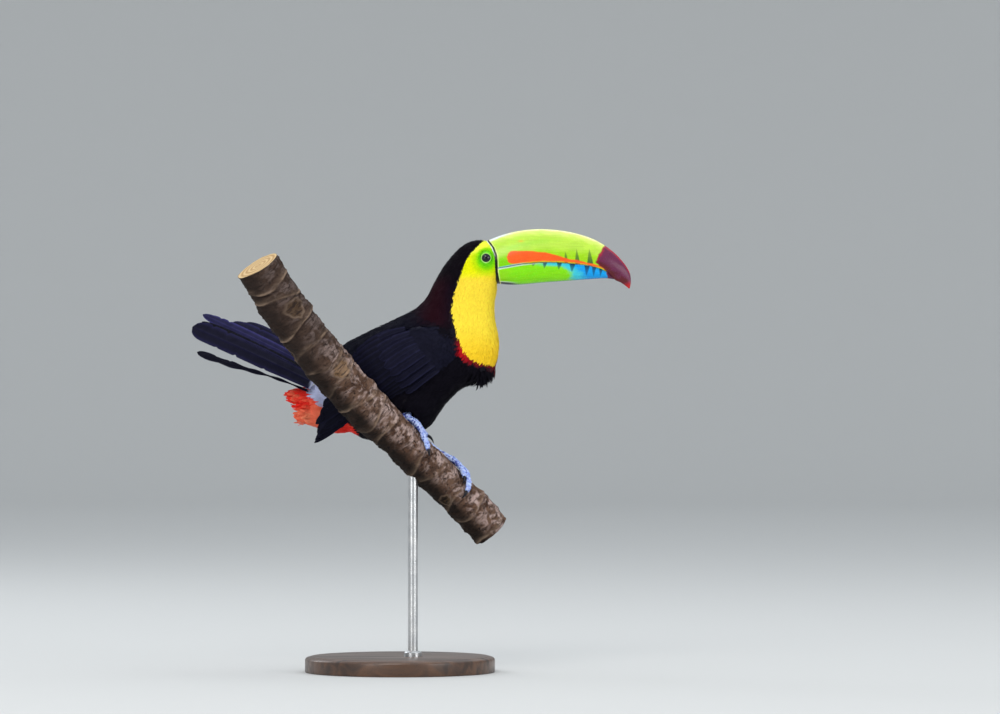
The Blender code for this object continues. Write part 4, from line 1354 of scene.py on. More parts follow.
perchLook = {
    "rows": 440,
    "columns": 148,
    "cutRings": (0.985, 0.95, 0.8, 0.6, 0.4, 0.2, 0.07),    # rings of a sawn face, as shares of its radius
    "lumps": 0.8,
    "ridges": 0.42,
    # ring scars: place up the branch, tilt, phase, height
    "rings": ((-84, 4, 20, 0.8), (-52, 3, 150, 0.5), (-33, 5.5, 60, 0.6), (3, 4, 210, 0.35),
              (21, 6, 100, 0.5), (62, 4, 40, 0.55), (84, 7, 130, 0.8), (103, 4.5, 250, 0.9),
              (131, 6, 80, 0.7), (154, 4, 200, 0.5), (171, 7, 20, 0.7), (200, 5, 110, 1),
              (232, 6, 280, 0.8), (249, 4, 170, 0.9)),
    # leaf scars: place, degrees round, half-length, half-width in millimetres
    "leafScars": ((216, 64, 9.5, 9.5), (140, 68, 9.5, 9.5), (-66, -120, 7, 8), (66, 214, 8, 9),
                  (104, -70, 8, 9), (178, 190, 9, 10), (-27, 128, 6, 6.5), (250, -30, 8, 9)),
    # swellings: place, degrees round, height, reach in millimetres
    "knobs": ((207, 12, 1.7, 6), (139, 8, 1.5, 5.5), (104.5, 2, 1.8, 5), (37, 55, 1.3, 7), (-13, 50, 1.3, 7),
              (-55, 6, 1.6, 6), (172, -14, 1.3, 6), (84, 176, 1.5, 6), (22, 170, 1.2, 7),
              (232, 150, 1.4, 6)),
    # mottling: size along and across the branch in millimetres, low, high, detail, seed, twist
    "grains": (((16, 8), 0.36, 0.64, 4.0, 1.0, 0.8), ((13.0, 6.0), 0.44, 0.64, 6.0, 2.0, 1.0),
               ((3.4, 4.6), 0.48, 0.64, 6.0, 3.0, 0.9), ((4.4, 2.2), 0.56, 0.66, 6.0, 4.0, 0.4),
               ((1.2, 0.7), 0.48, 0.66, 3.0, 5.0, 0.4)),
    # the pale scurf tone is laid mostly on the top side as painted light, and the shade tone is painted
    # shade on the lower side
    "dark": srgb(62, 45, 36), "brown": srgb(108, 84, 70), "scurfAndTopLight": srgb(182, 160, 154),
    "rust": srgb(112, 76, 58), "scar": srgb(134, 104, 72), "scarDark": srgb(52, 36, 28),
    "wrinkle": srgb(56, 42, 36), "pit": srgb(34, 25, 24), "shade": srgb(15, 12, 11),
    "upperEnd": srgb(46, 36, 32), "ring": srgb(176, 150, 128), "groove": srgb(36, 26, 24),
    "wood": srgb(206, 180, 136), "woodRing": srgb(168, 134, 92),
}


def aroundGap(around, turn):
    # distance round the branch between two bearings, in millimetres
    return ((around - turn + 180) % 360 - 180) * math.pi / 180 * 20.5


def ringScars(climb, around, look):
    # raised rings round the branch, and the groove under each
    rings, grooves = 0.0, 0.0
    for place, tilt, phase, height in look["rings"]:
        wobble = tilt * np.sin(np.radians(around + phase)) + 1.3 * np.sin(np.radians(3 * around + 2 * phase))
        d = climb - place - wobble
        crest = np.exp(-((d / 0.9) ** 2)) + 0.5 * ease(d, -1, 1) * ease(7 - d, 0, 7)
        rings = np.maximum(rings, height * crest)
        grooves = np.maximum(grooves, height * np.exp(-(((d + 2.1) / 0.9) ** 2)))
    return rings, grooves


def leafScars(climb, around, look):
    # shield-shaped scars, and the lip round each
    scars, lips = 0.0, 0.0
    for place, turn, halfLong, halfWide in look["leafScars"]:
        u = (climb - place) / halfLong
        v = aroundGap(around, turn) / (halfWide * (1.0 + 0.38 * np.clip(u, -1, 1)))
        d = np.sqrt(u * u + v * v) + 0.07 * np.sin(7 * np.arctan2(v, u) + place)
        scars = np.maximum(scars, 1 - ease(d, 0.72, 0.98))
        lips = np.maximum(lips, np.exp(-(((d - 0.98) / 0.12) ** 2)) * (0.45 + 0.55 * ease(-u, -0.3, 0.6)))
    return scars, lips


def swellings(climb, around, look):
    # lumps of the bark at knots and joints
    total = 0.0
    for place, turn, height, reach in look["knobs"]:
        across = aroundGap(around, turn) / reach / 1.3
        total = total + height * np.exp(-(((climb - place) / reach) ** 2 + across**2))
    return [total]


def barkShape(s, a, points, look):
    # height over the plain branch, with masks for scars, ridges and grooves
    climb, around = s[:, None], a[None, :]
    flatS, flatA = np.repeat(s, len(a)), np.tile(a, len(s))
    lump = look["lumps"] * waves(points, 19.0, 51, 3)
    ringPlace = np.stack([np.cos(np.radians(flatA)), np.sin(np.radians(flatA))], axis=1) * 20.0
    fibre = np.column_stack([flatS * 1.5, ringPlace * 0.55])
    ridge = look["ridges"] * waves(fibre, 6.0, 52, 3)
    masks = [mask for form in (ringScars, leafScars, swellings) for mask in form(climb, around, look)]
    ring, groove, scar, lip, knob = (mask.ravel() for mask in masks)
    broken = ease(waves(fibre, 14.0, 54, 2), -0.35, 0.5)
    ring, groove = ring * (0.3 + 0.7 * broken), groove * (0.25 + 0.75 * broken)
    whorl = 0.22 * np.sin(waves(points, 12.0, 53, 2) * 9) * scar
    height = lump + ridge + knob + 0.75 * ring - 0.65 * groove + 0.6 * lip - 0.2 * scar + whorl
    # the bark is smoother and lower where the feet grip it
    grip = ease(flatS, -46, -34) * (1 - ease(flatS, 78, 90))
    grip = grip * ease(np.cos(np.radians(flatA - 40)), -0.75, -0.5)
    height = height * (1 - 0.45 * grip) - 0.25 * grip
    # how far each point faces up: the painted light on the top side and the painted shade below follow it
    upper = 0.5 + 0.5 * np.cos(np.radians(flatA - 12))
    return height, {"ringScar": ring, "groove": np.maximum(groove, 0.5 * lip), "leafScar": scar,
                    "lip": lip, "upper": upper}, fibre


def barkNoise(tree, place, size, low, high, detail, seed, twist):
    # mottling in the branch's own places
    scale = (1.0 / size[0], 1.0 / size[1], 1.0 / size[1])
    return rangeNode(tree, stretchedNoise(tree, place, scale, detail, twist, W=seed), low, high)


def makeBarkPaint(look):
    # wrinkled brown bark: pale scurf patches laid mostly on the top side as painted light, dark cracks and
    # pits, tan leaf scars, painted shade on the lower side
    paint, tree, shader = startPaint("bark", 0.86, Specular_IOR_Level=0.12)
    place = attribute(tree, "barkPlace")["Vector"]
    upper, scar, lip, ring, groove, cut = (attribute(tree, name)["Fac"] for name in
                                           ("upper", "leafScar", "lip", "ringScar", "groove", "sawn"))
    broad, patches, wrinkle, pits, flecks = (barkNoise(tree, place, *row) for row in look["grains"])
    base = blendNode(tree, broad, look["dark"], look["brown"])
    # pale scurf patches, laid more thickly on the top side as painted light
    base = tint(tree, base, patches, rangeNode(tree, upper, 0.2, 0.95, 0.06, 0.85), look["scurfAndTopLight"])
    base = tint(tree, base, flecks, 0.4, look["rust"])
    base = tint(tree, base, scar, 0.8, blendNode(tree, wrinkle, look["scar"], look["scarDark"]))
    base = tint(tree, base, wrinkle, 0.62, look["wrinkle"])
    base = tint(tree, base, pits, 0.85, look["pit"])
    # painted shade: darker on the lower side of the branch
    shade = mathNode(tree, "ADD", rangeNode(tree, upper, 0.26, 0.66, 1.0, 0.0),
                     mathNode(tree, "MULTIPLY", mathNode(tree, "SUBTRACT", broad, 0.6), 0.35), clamp=True)
    base = tint(tree, base, shade, 0.92, look["shade"])
    split = addNode(tree, "ShaderNodeSeparateXYZ")
    join(tree, place, split.inputs["Vector"])
    high = rangeNode(tree, split.outputs["X"], 170.0, 285.0, 0.0, 0.78)
    base = blendNode(tree, high, base, look["upperEnd"])
    light = mathNode(tree, "MAXIMUM", mathNode(tree, "MULTIPLY", ring, 0.4),
                     mathNode(tree, "MULTIPLY", lip, 0.45))
    base = blendNode(tree, light, base, look["ring"])
    base = blendNode(tree, mathNode(tree, "MULTIPLY", groove, 0.9, clamp=True), base, look["groove"])
    rings = addNode(tree, "ShaderNodeTexWave", wave_type="RINGS", rings_direction="SPHERICAL")
    setInputs(rings, Scale=60.0, Distortion=2.0, Detail=3.0)
    join(tree, attribute(tree, "heart")["Vector"], rings.inputs["Vector"])
    wood = blendNode(tree, rings.outputs["Fac"], look["wood"], look["woodRing"])
    join(tree, blendNode(tree, cut, base, wood), shader.inputs["Base Color"])
    relief = mathNode(tree, "SUBTRACT", mathNode(tree, "MULTIPLY", patches, 0.6),
                      mathNode(tree, "ADD", pits, mathNode(tree, "MULTIPLY", wrinkle, 0.8)))
    addBump(tree, shader, relief, 0.8, 0.5)
    return paint


def buildPerch(look):
    # a bark tube along the branch, with a sawn face of shrinking rings on each end
    columns = look["columns"]
    s = np.linspace(climbs.min(), climbs.max(), look["rows"])
    a = np.linspace(0, 360, columns, endpoint=False)
    inside = np.clip(s, climbs.min() + 4, climbs.max() - 4)
    grid = np.stack([onPerch(inside, angle, 0.0) for angle in a], axis=1)
    centre = perchCentre(s)
    grid += (centre - perchCentre(inside))[:, None]
    out = unit(grid - centre[:, None])
    points = grid.reshape(-1, 3)
    height, masks, fibre = barkShape(s, a, points, look)
    points = points + out.reshape(-1, 3) * height[:, None]
    outer = len(points)
    parts, faces = [points], [lattice(look["rows"], columns, True)]
    shares = look["cutRings"]
    count = len(shares) * columns
    fromHeart = [np.zeros((outer, 3))]
    turned = np.arange(columns)
    for start, rim, ids, middle, beyond in ((outer, points[:columns], turned, centre[0], centre[1]),
                                            (outer + count, points[-columns:], turned + outer - columns,
                                             centre[-1], centre[-2])):
        inward = unit(beyond - middle)
        for share in shares:
            dish = 0.0 if share > 0.97 else 0.12 * math.sin(share * 40)
            parts.append(middle + (rim - middle) * share + inward * dish)
            fromHeart.append((parts[-1] - middle) * mm)
        first = turned + start
        bridge = np.stack([ids, np.roll(ids, -1), np.roll(first, -1), first], axis=1)
        faces += [lattice(len(shares), columns, True, start), bridge, (first + count - columns)[None]]
    made = toMesh("perchBark", np.concatenate(parts), faces, materials=[makeBarkPaint(look)])
    masks["sawn"] = np.zeros(outer)
    for name, values in masks.items():
        onCut = np.full(2 * count, float(name == "sawn"))
        setNumber(made, name, np.clip(np.concatenate([values, onCut]), 0, 1))
    setVector(made, "heart", np.concatenate(fromHeart))
    setVector(made, "barkPlace", np.concatenate([fibre, np.repeat(fibre[[0, -1]], count, axis=0)]))
    tidyShell(made)
    finishPiece(made, "bark", "perch")


buildPerch(perchLook)
print("stage: branch")


# feet, scutes and claws

# toe routes: climb, degrees round the branch and lift at each knuckle, toe by toe
toeRoutes = {
    "right": (((52, -26, 3.4), (42, 2, 4), (34, 30, 3.2), (28, 44, 3.4), (23, 54, 2.8)),
              ((52, -30, 3.4), (42, -28, 4.2), (33, -22, 3.2), (27, -14, 2.8)),
              ((54, -34, 3.4), (59, -62, 4), (61, -95, 3.2), (60, -126, 2.8)),
              ((54, -30, 3.4), (64, -36, 3.8), (71, -52, 2.8))),
    "left": (((-1, -40, 3.4), (-9, -24, 4), (-18, -5, 3.4), (-25, 16, 3.6), (-30, 38, 3.2),
              (-34, 62, 2.8)),
             ((-1, -38, 3.4), (-10, -18, 4), (-18, 8, 3.2), (-24, 32, 2.8)),
             ((-1, -46, 3.4), (-8, -72, 4), (-12, -100, 3.2), (-13, -128, 2.8)),
             ((0, -50, 3.4), (5, -80, 3.8), (9, -108, 2.8))),
}
# how far each claw runs on past its toe: climb and degrees round the branch
clawTurns = {"right": ((-6, 13), (-10, 8), (-2, -24), (5, -20)),
             "left": ((-1, 26), (-3, 22), (-1, -24), (3, -22))}
hubs = {"right": (52, -28, 4.4), "left": (-1, -42, 4.4)}
ankles = {"right": (8.0, 5.0, 269.0), "left": (14.5, 27.0, 240.0)}

footLook = {
    "toeRadius": 3.0,
    "toeWave": (1.0, 0.84, 1.04, 0.8, 0.98, 0.74, 0.88, 0.7),    # pads and joints along a toe
    "toeSteps": 44,
    "tubeSides": 18,
    "hubRadius": 4.3,
    "shankRadii": (3.3, 3.0, 3.2, 3.6, 4.0),
    "clawRadii": (1.75, 1.75, 1.6, 1.35, 1.0, 0.62, 0.2),
    "clawSides": 14,
    "clawFlatten": 0.85,
    "shankPlates": (0.08, 0.6, 0.035),    # first, last and spacing, as shares of the shank
    "sideLean": 62,        # degrees from a toe's top plates to those along its sides
    "voxel": 0.5,
    "smoothing": 3,
    "scuteStep": 3.3,      # spacing of the plates along a toe
    "scuteHeight": 0.62,
    "plate": {"Segments": 10, "Rings": 6, "Seed": 3, "Vary": 0.2},
    # the skin tone, darker than the plates, is painted shade in the gaps between them
    "skinTone": srgb(36, 54, 150),
    "plateTone": srgb(88, 116, 218),
    "darkTone": srgb(16, 22, 84),
    "paleTone": srgb(196, 213, 252),
    "clawTone": srgb(13, 13, 19),
    "clawPale": srgb(40, 40, 52),
}


def tubeMesh(path, radii, sides, flatten=1.0):
    # points and faces of a closed round tube along a path
    path = np.asarray(path, float)
    ahead = unit(np.gradient(path, axis=0))
    across = np.zeros_like(path)
    up = np.array((0.3, 0.9, 0.2))
    for k, way in enumerate(ahead):
        up = unit(up - way * up.dot(way))
        across[k] = up
    other = np.cross(ahead, across)
    r = np.interp(np.linspace(0, 1, len(path)), np.linspace(0, 1, len(radii)), radii)
    a = fullTurn(sides)
    ring = across[:, None] * np.cos(a)[None, :, None] + other[:, None] * (flatten * np.sin(a))[None, :, None]
    return closedGrid(path[:, None] + ring * r[:, None, None])


def ballMesh(centre, radius, segments=20, rings=12):
    polar = np.linspace(0.05, math.pi - 0.05, rings)
    around = fullTurn(segments)
    x = np.sin(polar)[:, None] * np.cos(around)
    y = np.sin(polar)[:, None] * np.sin(around)
    z = np.repeat(np.cos(polar)[:, None], segments, axis=1)
    return closedGrid(np.stack([x, y, z], axis=-1) * radius + np.asarray(centre))


def routePoints(knuckles, count):
    return onPerch(*smoothRun(knuckles, count).T)


def makeStampTree(name):
    # Geometry Nodes: a small domed plate on every point, turned by its "way" and "up", sized by "size"
    tree = bpy.data.node_groups.new(name, "GeometryNodeTree")
    tree.interface.new_socket("Geometry", in_out="INPUT", socket_type="NodeSocketGeometry")
    sockets = {}
    for label, kind, value in (("Segments", "NodeSocketInt", 8), ("Rings", "NodeSocketInt", 5),
                               ("Seed", "NodeSocketInt", 3), ("Vary", "NodeSocketFloat", 0.15),
                               ("Finish", "NodeSocketMaterial", None)):
        made = tree.interface.new_socket(label, in_out="INPUT", socket_type=kind)
        if value is not None:
            made.default_value = value
        sockets[label] = made.identifier
    tree.interface.new_socket("Geometry", in_out="OUTPUT", socket_type="NodeSocketGeometry")
    given, out = addNode(tree, "NodeGroupInput").outputs, addNode(tree, "NodeGroupOutput")
    spots, place, solid, smooth, finish = (addNode(tree, "GeometryNode" + kind) for kind in (
        "MeshToPoints", "InstanceOnPoints", "RealizeInstances", "SetShadeSmooth", "SetMaterial"))
    plate = setInputs(addNode(tree, "GeometryNodeMeshUVSphere"), Radius=1.0)
    way, up, size = (setInputs(addNode(tree, "GeometryNodeInputNamedAttribute", data_type="FLOAT_VECTOR"),
                               Name=label).outputs[0] for label in ("way", "up", "size"))
    first = addNode(tree, "FunctionNodeAlignRotationToVector", axis="X")
    second = addNode(tree, "FunctionNodeAlignRotationToVector", axis="Z", pivot_axis="X")
    chance = addNode(tree, "FunctionNodeRandomValue", data_type="FLOAT")
    scaled = addNode(tree, "ShaderNodeVectorMath", operation="SCALE")
    join(tree, way, first.inputs["Vector"],
         first.outputs[0], second.inputs["Rotation"],
         up, second.inputs["Vector"],
         mathNode(tree, "SUBTRACT", 1.0, given["Vary"]), chance.inputs[2],
         mathNode(tree, "ADD", 1.0, given["Vary"]), chance.inputs[3],
         given["Seed"], chance.inputs["Seed"],
         size, scaled.inputs[0],
         chance.outputs[1], scaled.inputs["Scale"],
         given["Geometry"], spots.inputs["Mesh"],
         spots.outputs[0], place.inputs["Points"],
         given["Segments"], plate.inputs["Segments"],
         given["Rings"], plate.inputs["Rings"],
         plate.outputs["Mesh"], place.inputs["Instance"],
         second.outputs[0], place.inputs["Rotation"],
         scaled.outputs[0], place.inputs["Scale"],
         place.outputs[0], solid.inputs[0],
         solid.outputs[0], smooth.inputs[0],
         smooth.outputs[0], finish.inputs["Geometry"],
         given["Finish"], finish.inputs["Material"],
         finish.outputs[0], out.inputs[0])
    return tree, sockets


stampTree, stampSockets = makeStampTree("domedPlates")


def stampPlates(name, spots, ways, ups, sizes, paint, values):
    # one plate per spot; sizes holds half-length, half-width and height in millimetres
    data = bpy.data.meshes.new(name + "Spots")
    data.from_pydata((spots * mm).tolist(), [], [])
    made = addObject(name + "Spots", data)
    for label, vectors in (("way", unit(ways)), ("up", unit(ups)), ("size", sizes * mm)):
        setVector(made, label, vectors)
    step = made.modifiers.new("plates", "NODES")
    step.node_group = stampTree
    for label, value in {**values, "Finish": paint}.items():
        step[stampSockets[label]] = value
    return plainResult(made, name)


def makeFootPaint(name, tone, s):
    # blue bare skin: painted highlights on the plates' crowns, painted shade in the creases
    paint, tree, shader = startPaint(name, 0.42, Specular_IOR_Level=0.3, Subsurface_Weight=0.06,
                                     Subsurface_Scale=1.0 * mm)
    broad = rangeNode(tree, grain(tree, Size=2.6, Detail=2.0, Seed=21.0), 0.38, 0.68)
    fine = grain(tree, Size=0.8, Detail=3.0, Seed=22.0)
    crown = addNode(tree, "ShaderNodeNewGeometry").outputs["Pointiness"]
    base = tint(tree, tone, broad, 0.85, s["paleTone"])
    # painted highlight on convex crowns and painted shade in hollows, from the surface's pointiness
    base = tint(tree, base, rangeNode(tree, crown, 0.49, 0.56), 0.5, s["paleTone"])
    base = tint(tree, base, rangeNode(tree, crown, 0.44, 0.5, 1.0, 0.0), 0.7, s["darkTone"])
    join(tree, tint(tree, base, fine, 0.2, s["darkTone"]), shader.inputs["Base Color"])
    addBump(tree, shader, fine, 0.4, 0.12)
    return paint


def makeClawPaint(s):
    paint, tree, shader = startPaint("clawHorn", 0.3, Coat_Weight=0.08, Coat_Roughness=0.2,
                                     Specular_IOR_Level=0.2)
    streak = grain(tree, Size=1.2, Detail=3.0, Seed=31.0)
    join(tree, tint(tree, s["clawTone"], streak, 0.5, s["clawPale"]), shader.inputs["Base Color"])
    addBump(tree, shader, streak, 0.25, 0.08)
    return paint


def clawRoute(knuckles, turn, toeEnd, toeBefore):
    s, around, lift = knuckles[-1]
    start = toeEnd - unit(toeEnd - toeBefore) * 0.9
    route = [start] + [onPerch(s + turn[0] * t, around + turn[1] * t, high)
                       for t, high in ((0.35, lift + 0.7), (0.7, lift - 0.2), (1.0, 1.0))]
    return smoothRun(np.array(route), 18)


def buildToe(knuckles, turn, s):
    # one toe's tube and end, its claw, and the plates along its top and sides
    step, wave = s["scuteStep"], s["toeRadius"] * np.array(s["toeWave"])
    coarse = routePoints(knuckles, len(knuckles) + 3)
    claw = tubeMesh(clawRoute(knuckles, turn, coarse[-1], coarse[-2]),
                    s["clawRadii"], s["clawSides"], s["clawFlatten"])
    rows = smoothRun(knuckles, s["toeSteps"])
    path = onPerch(*rows.T)
    length = np.concatenate([[0], np.cumsum(np.linalg.norm(np.diff(path, axis=0), axis=1))])
    at = np.arange(1.5, length[-1] - 0.5, step)
    spots = readAt(at, length, path)
    ways = unit(readAt(at, length, np.gradient(path, axis=0)))
    ups = squareTo(unit(spots - perchCentre(np.interp(at, length, rows[:, 0]))), ways)
    r = np.interp(at / length[-1], np.linspace(0, 1, len(wave)), wave)
    even = np.ones(len(at))
    sizes = np.stack([step * 0.56 * even, r * 1.05, s["scuteHeight"] * even], axis=1)
    plates = [(spots + ups * (r - 0.12)[:, None], ways, ups, sizes)]
    for lean in (-math.radians(s["sideLean"]), math.radians(s["sideLean"])):
        aside = ups * math.cos(lean) + np.cross(ways, ups) * math.sin(lean)
        plates.append((spots + ways * step * 0.5 + aside * (r - 0.18)[:, None], ways, aside,
                       sizes * (0.8, 0.5, 0.8)))
    return [tubeMesh(path, wave, s["tubeSides"]), ballMesh(path[-1], wave[-1] * 0.98, 14, 8)], claw, plates


def shankPlates(shank, hub, ankle, s):
    # a row of plates up the front of the shank
    t = np.linspace(0, 1, len(shank))
    steps = np.arange(*s["shankPlates"])
    front = unit((0.8, -0.55, 0.25))
    ways = np.tile(unit(ankle - hub), (len(steps), 1))
    ups = unit(front - ways * (ways @ front)[:, None])
    return readAt(steps, t, shank) + ups * 2.85, ways, ups, np.tile((1.5, 2.4, 0.5), (len(steps), 1))


def buildFoot(which, s, skinFinish, plateFinish, clawFinish):
    # the skin of toes and shank as one merged piece, then the plates and the claws
    hub, ankle = onPerch(*hubs[which]), np.array(ankles[which])
    t = np.linspace(0, 1, 24)
    shank = hub + (ankle - hub) * t[:, None] + np.array((0, 1.5, -1.5)) * np.sin(math.pi * t)[:, None]
    parts, claws, plates = [ballMesh(hub, s["hubRadius"])], [], []
    for knuckles, turn in zip(toeRoutes[which], clawTurns[which]):
        tubes, claw, rows = buildToe(knuckles, turn, s)
        parts += tubes
        claws.append(claw)
        plates += rows
    parts.append(tubeMesh(shank, s["shankRadii"], s["tubeSides"]))
    plates.append(shankPlates(shank, hub, ankle, s))
    foot = voxelMerge("foot_" + which + "Skin", joinMeshes("footRaw", parts), s["voxel"], s["smoothing"])
    foot.data.materials.clear()
    foot.data.materials.append(skinFinish)
    foot.data.shade_smooth()
    finishPiece(foot, "foot", "foot_" + which, "leg_" + which)
    joined = [np.concatenate([group[k] for group in plates]) for k in range(4)]
    finishPiece(stampPlates("scutes_" + which, *joined, plateFinish, s["plate"]), "foot")
    claw = joinMeshes("claws_" + which, claws, [clawFinish])
    finishPiece(claw, "claw", *["claw_%s_%d" % (which, k) for k in range(1, 5)])


footSkin = makeFootPaint("footSkin", footLook["skinTone"], footLook)
footPlates = makeFootPaint("footPlates", footLook["plateTone"], footLook)
clawHorn = makeClawPaint(footLook)
for which in ("right", "left"):
    buildFoot(which, footLook, footSkin, footPlates, clawHorn)
print("stage: feet and claws")


# the stand

standLook = {
    "baseRadius": 95.0,
    "baseHeight": 16.0,
    "rodRadius": 5.0,
    "rodX": 13.0,
    "collarRadius": 9.0,
    "collarHeight": 5.0,
    "edgeRound": 3.2,
    "rodTop": 12.0,        # how far under the branch's heart the rod ends
    "woodDark": srgb(48, 32, 24),
    "woodLight": srgb(92, 62, 42),
    "pore": srgb(26, 18, 14),
    "steel": (0.5, 0.51, 0.52),
    "steelSmudge": (0.62, 0.62, 0.62),
}


def lathe(profile, columns, centre=(0.0, 0.0)):
    a = fullTurn(columns)
    profile = np.array(profile, float)
    x = centre[0] + profile[:, 0, None] * np.cos(a)
    y = centre[1] + profile[:, 0, None] * np.sin(a)
    return closedGrid(np.stack([x, y, np.repeat(profile[:, 1, None], columns, axis=1)], axis=-1))


def makeWoodPaint(s):
    # dark oiled wood with long grain and fine pores
    paint, tree, shader = startPaint("standWood", 0.38, Coat_Weight=0.25, Coat_Roughness=0.25)
    lines = stretchedNoise(tree, objectPlace(tree), (9.0, 120.0, 60.0), 5.0, 0.6)
    pores = grain(tree, Size=0.8, Low=0.58, High=0.66, Detail=3.0, Seed=41.0)
    bands = rangeNode(tree, lines, 0.32, 0.68)
    base = blendNode(tree, bands, s["woodDark"], s["woodLight"])
    join(tree, tint(tree, base, pores, 0.6, s["pore"]), shader.inputs["Base Color"],
         rangeNode(tree, bands, 0.0, 1.0, 0.44, 0.34), shader.inputs["Roughness"])
    addBump(tree, shader, mathNode(tree, "SUBTRACT", bands, pores), 0.2, 0.15)
    return paint


def makeSteelPaint(s):
    # brushed steel with faint smudges
    paint, tree, shader = startPaint("standSteel", 0.32, Metallic=1.0)
    brush = stretchedNoise(tree, objectPlace(tree), (300.0, 300.0, 4000.0), 2.0)
    smudge = grain(tree, Size=14.0, Detail=2.0, Seed=42.0)
    join(tree, blendNode(tree, smudge, s["steel"], s["steelSmudge"]), shader.inputs["Base Color"],
         rangeNode(tree, brush, 0.3, 0.7, 0.24, 0.42, "LINEAR"), shader.inputs["Roughness"])
    addBump(tree, shader, brush, 0.12, 0.05)
    return paint


def buildStand(s):
    # the base and the rod with its collar, each turned from a profile of radius and height
    r, h, e = s["baseRadius"], s["baseHeight"], s["edgeRound"]
    base = [(0.5, 0.0), (r * 0.5, 0.0), (r - 1.2, 0.0), (r - 0.35, 0.35), (r, 1.2), (r, h - 4.6)]
    base += [(r - e + e * math.cos(a), h - 4.2 + e * math.sin(a)) for a in np.linspace(0.1, 1.45, 9)]
    base += [(r - 4.2, h - 0.85), (r - 5.0, h - 0.35), (r - 6.2, h), (r * 0.5, h), (r * 0.2, h), (0.5, h)]
    here = perchCentre(float(np.interp(s["rodX"], hearts[::-1, 0], climbs[::-1])))
    c, q, top, end = s["collarRadius"], s["rodRadius"], h + s["collarHeight"], here[2] - s["rodTop"]
    rod = [(0.5, h), (c, h), (c, top - 1.2), (c - 1.0, top), (q + 0.6, top), (q, top + 0.6),
           (q, h + 60), (q, h + 110), (q, end), (0.5, end)]
    for name, node, profile, columns, centre, paint in (
            ("standBase", "stand_base", base, 160, (0.0, 0.0), makeWoodPaint(s)),
            ("standRod", "stand_rod", rod, 64, (s["rodX"], here[1]), makeSteelPaint(s))):
        made = joinMeshes(name, [lathe(profile, columns, centre)], [paint])
        made.data.set_sharp_from_angle(angle=math.radians(32))
        finishPiece(made, node, node)


buildStand(standLook)
print("stage: stand")


# flight feathers and tail

# folded wing sections: centre X Z, half-height, half-thickness, distance from the mid-plane
wingRows = ((57, 334, 11, 4, 31), (43, 330, 23, 6.5, 36), (15, 318, 30, 7, 38.5), (-15, 301, 29, 6.5, 38),
            (-42, 281, 24, 5, 33.5), (-61, 262, 16, 3.4, 28), (-74, 246, 8.5, 2, 24),
            (-85.5, 231, 1.6, 0.9, 21))
wingLean = unit(np.array((-0.66, 0.75)))

# root X Z, tip X Z, half-width, layer: the upper feathers lie over the lower ones
quillRows = (((28, 297), (-63, 246), 4.6, 0), ((24, 300), (-74, 240), 4.8, 0.15),
             ((20, 304), (-86, 229), 4.6, 0.3), ((17, 307), (-81, 238), 5.4, 0.5),
             ((14, 311), (-77, 243), 6, 0.7), ((10, 315), (-84.5, 248), 6.6, 0.9),
             ((6, 319), (-80, 257), 7, 1.1), ((2, 323), (-77, 266), 7.2, 1.3),
             ((-2, 327), (-71, 277), 7.4, 1.5), ((-5, 331), (-64, 287), 7.6, 1.7),
             ((-7, 335), (-56, 298), 7.8, 1.9), ((-8, 339), (-46, 310), 7.4, 2.1))
covertRows = (((38, 303), (6, 279), 4.6, 1.6), ((34, 309), (0, 285), 5, 1.75),
              ((30, 315), (-5, 291), 5.2, 1.9), ((26, 321), (-10, 297), 5.4, 2.05),
              ((21, 327), (-15, 304), 5.6, 2.2), ((16, 333), (-20, 312), 5.6, 2.35),
              ((11, 338), (-24, 320), 5.4, 2.5), ((6, 342), (-26, 329), 5, 2.65))

# fan angle, length, half-width, side offset at the root, lift in the stack, lightness: painted light and
# shade, lightest on the upper blade, with a near-black narrow feather standing in for the shadow between the
# two main blades
tailRows = ((-0.4, 136, 12.9, -9.2, 2.6, 0.8), (0.3, 131, 5.2, 0.7, 2.1, 0.2),
            (0.8, 134.5, 7.3, 8.6, 1.5, 2.1), (2.8, 105, 9.0, 14.0, 0.6, 1.1),
            (4.5, 94, 8.4, 19.0, -0.4, 0.8), (-7.5, 119, 4.6, -20.5, 1.0, 0.35),
            (0.6, 130, 9.4, -5.0, 0.9, 0.6), (1.0, 126, 7.2, 8.0, 0.1, 0.8),
            (3.6, 99, 8.2, 17.0, -1.2, 0.8))

featherLook = {
    "rows": 40,
    "thick": 0.42,
    "shaft": 0.4,
    "notches": 3,
    "sink": -0.4,          # height of the lowest layer over the wing's surface
    "rootDive": 2.6,       # how far a wing feather's root goes down into the coat
    "quillBow": -2.0,      # sideways bow at a feather's middle
    "covertBow": -1.2,
    # lighter edge tones, for the painted sheen along the blades' edges and shafts
    "quillTone": srgb(22, 22, 40),
    "quillSheen": srgb(38, 38, 68),
    "tailTone": srgb(19, 18, 42),
    "tailSheen": srgb(42, 40, 86),
    "tailPitch": 27.0,
    "tailRoll": 50.0,
    "tailRoot": (-84.0, 293.3),
    "tailDroop": 6.0,
    "looseHalf": 5,        # a tail feather narrower than this is loose and sways
    "looseSway": 1.2,
    "wingSeed": 19,
    "tailSeed": 23,
}


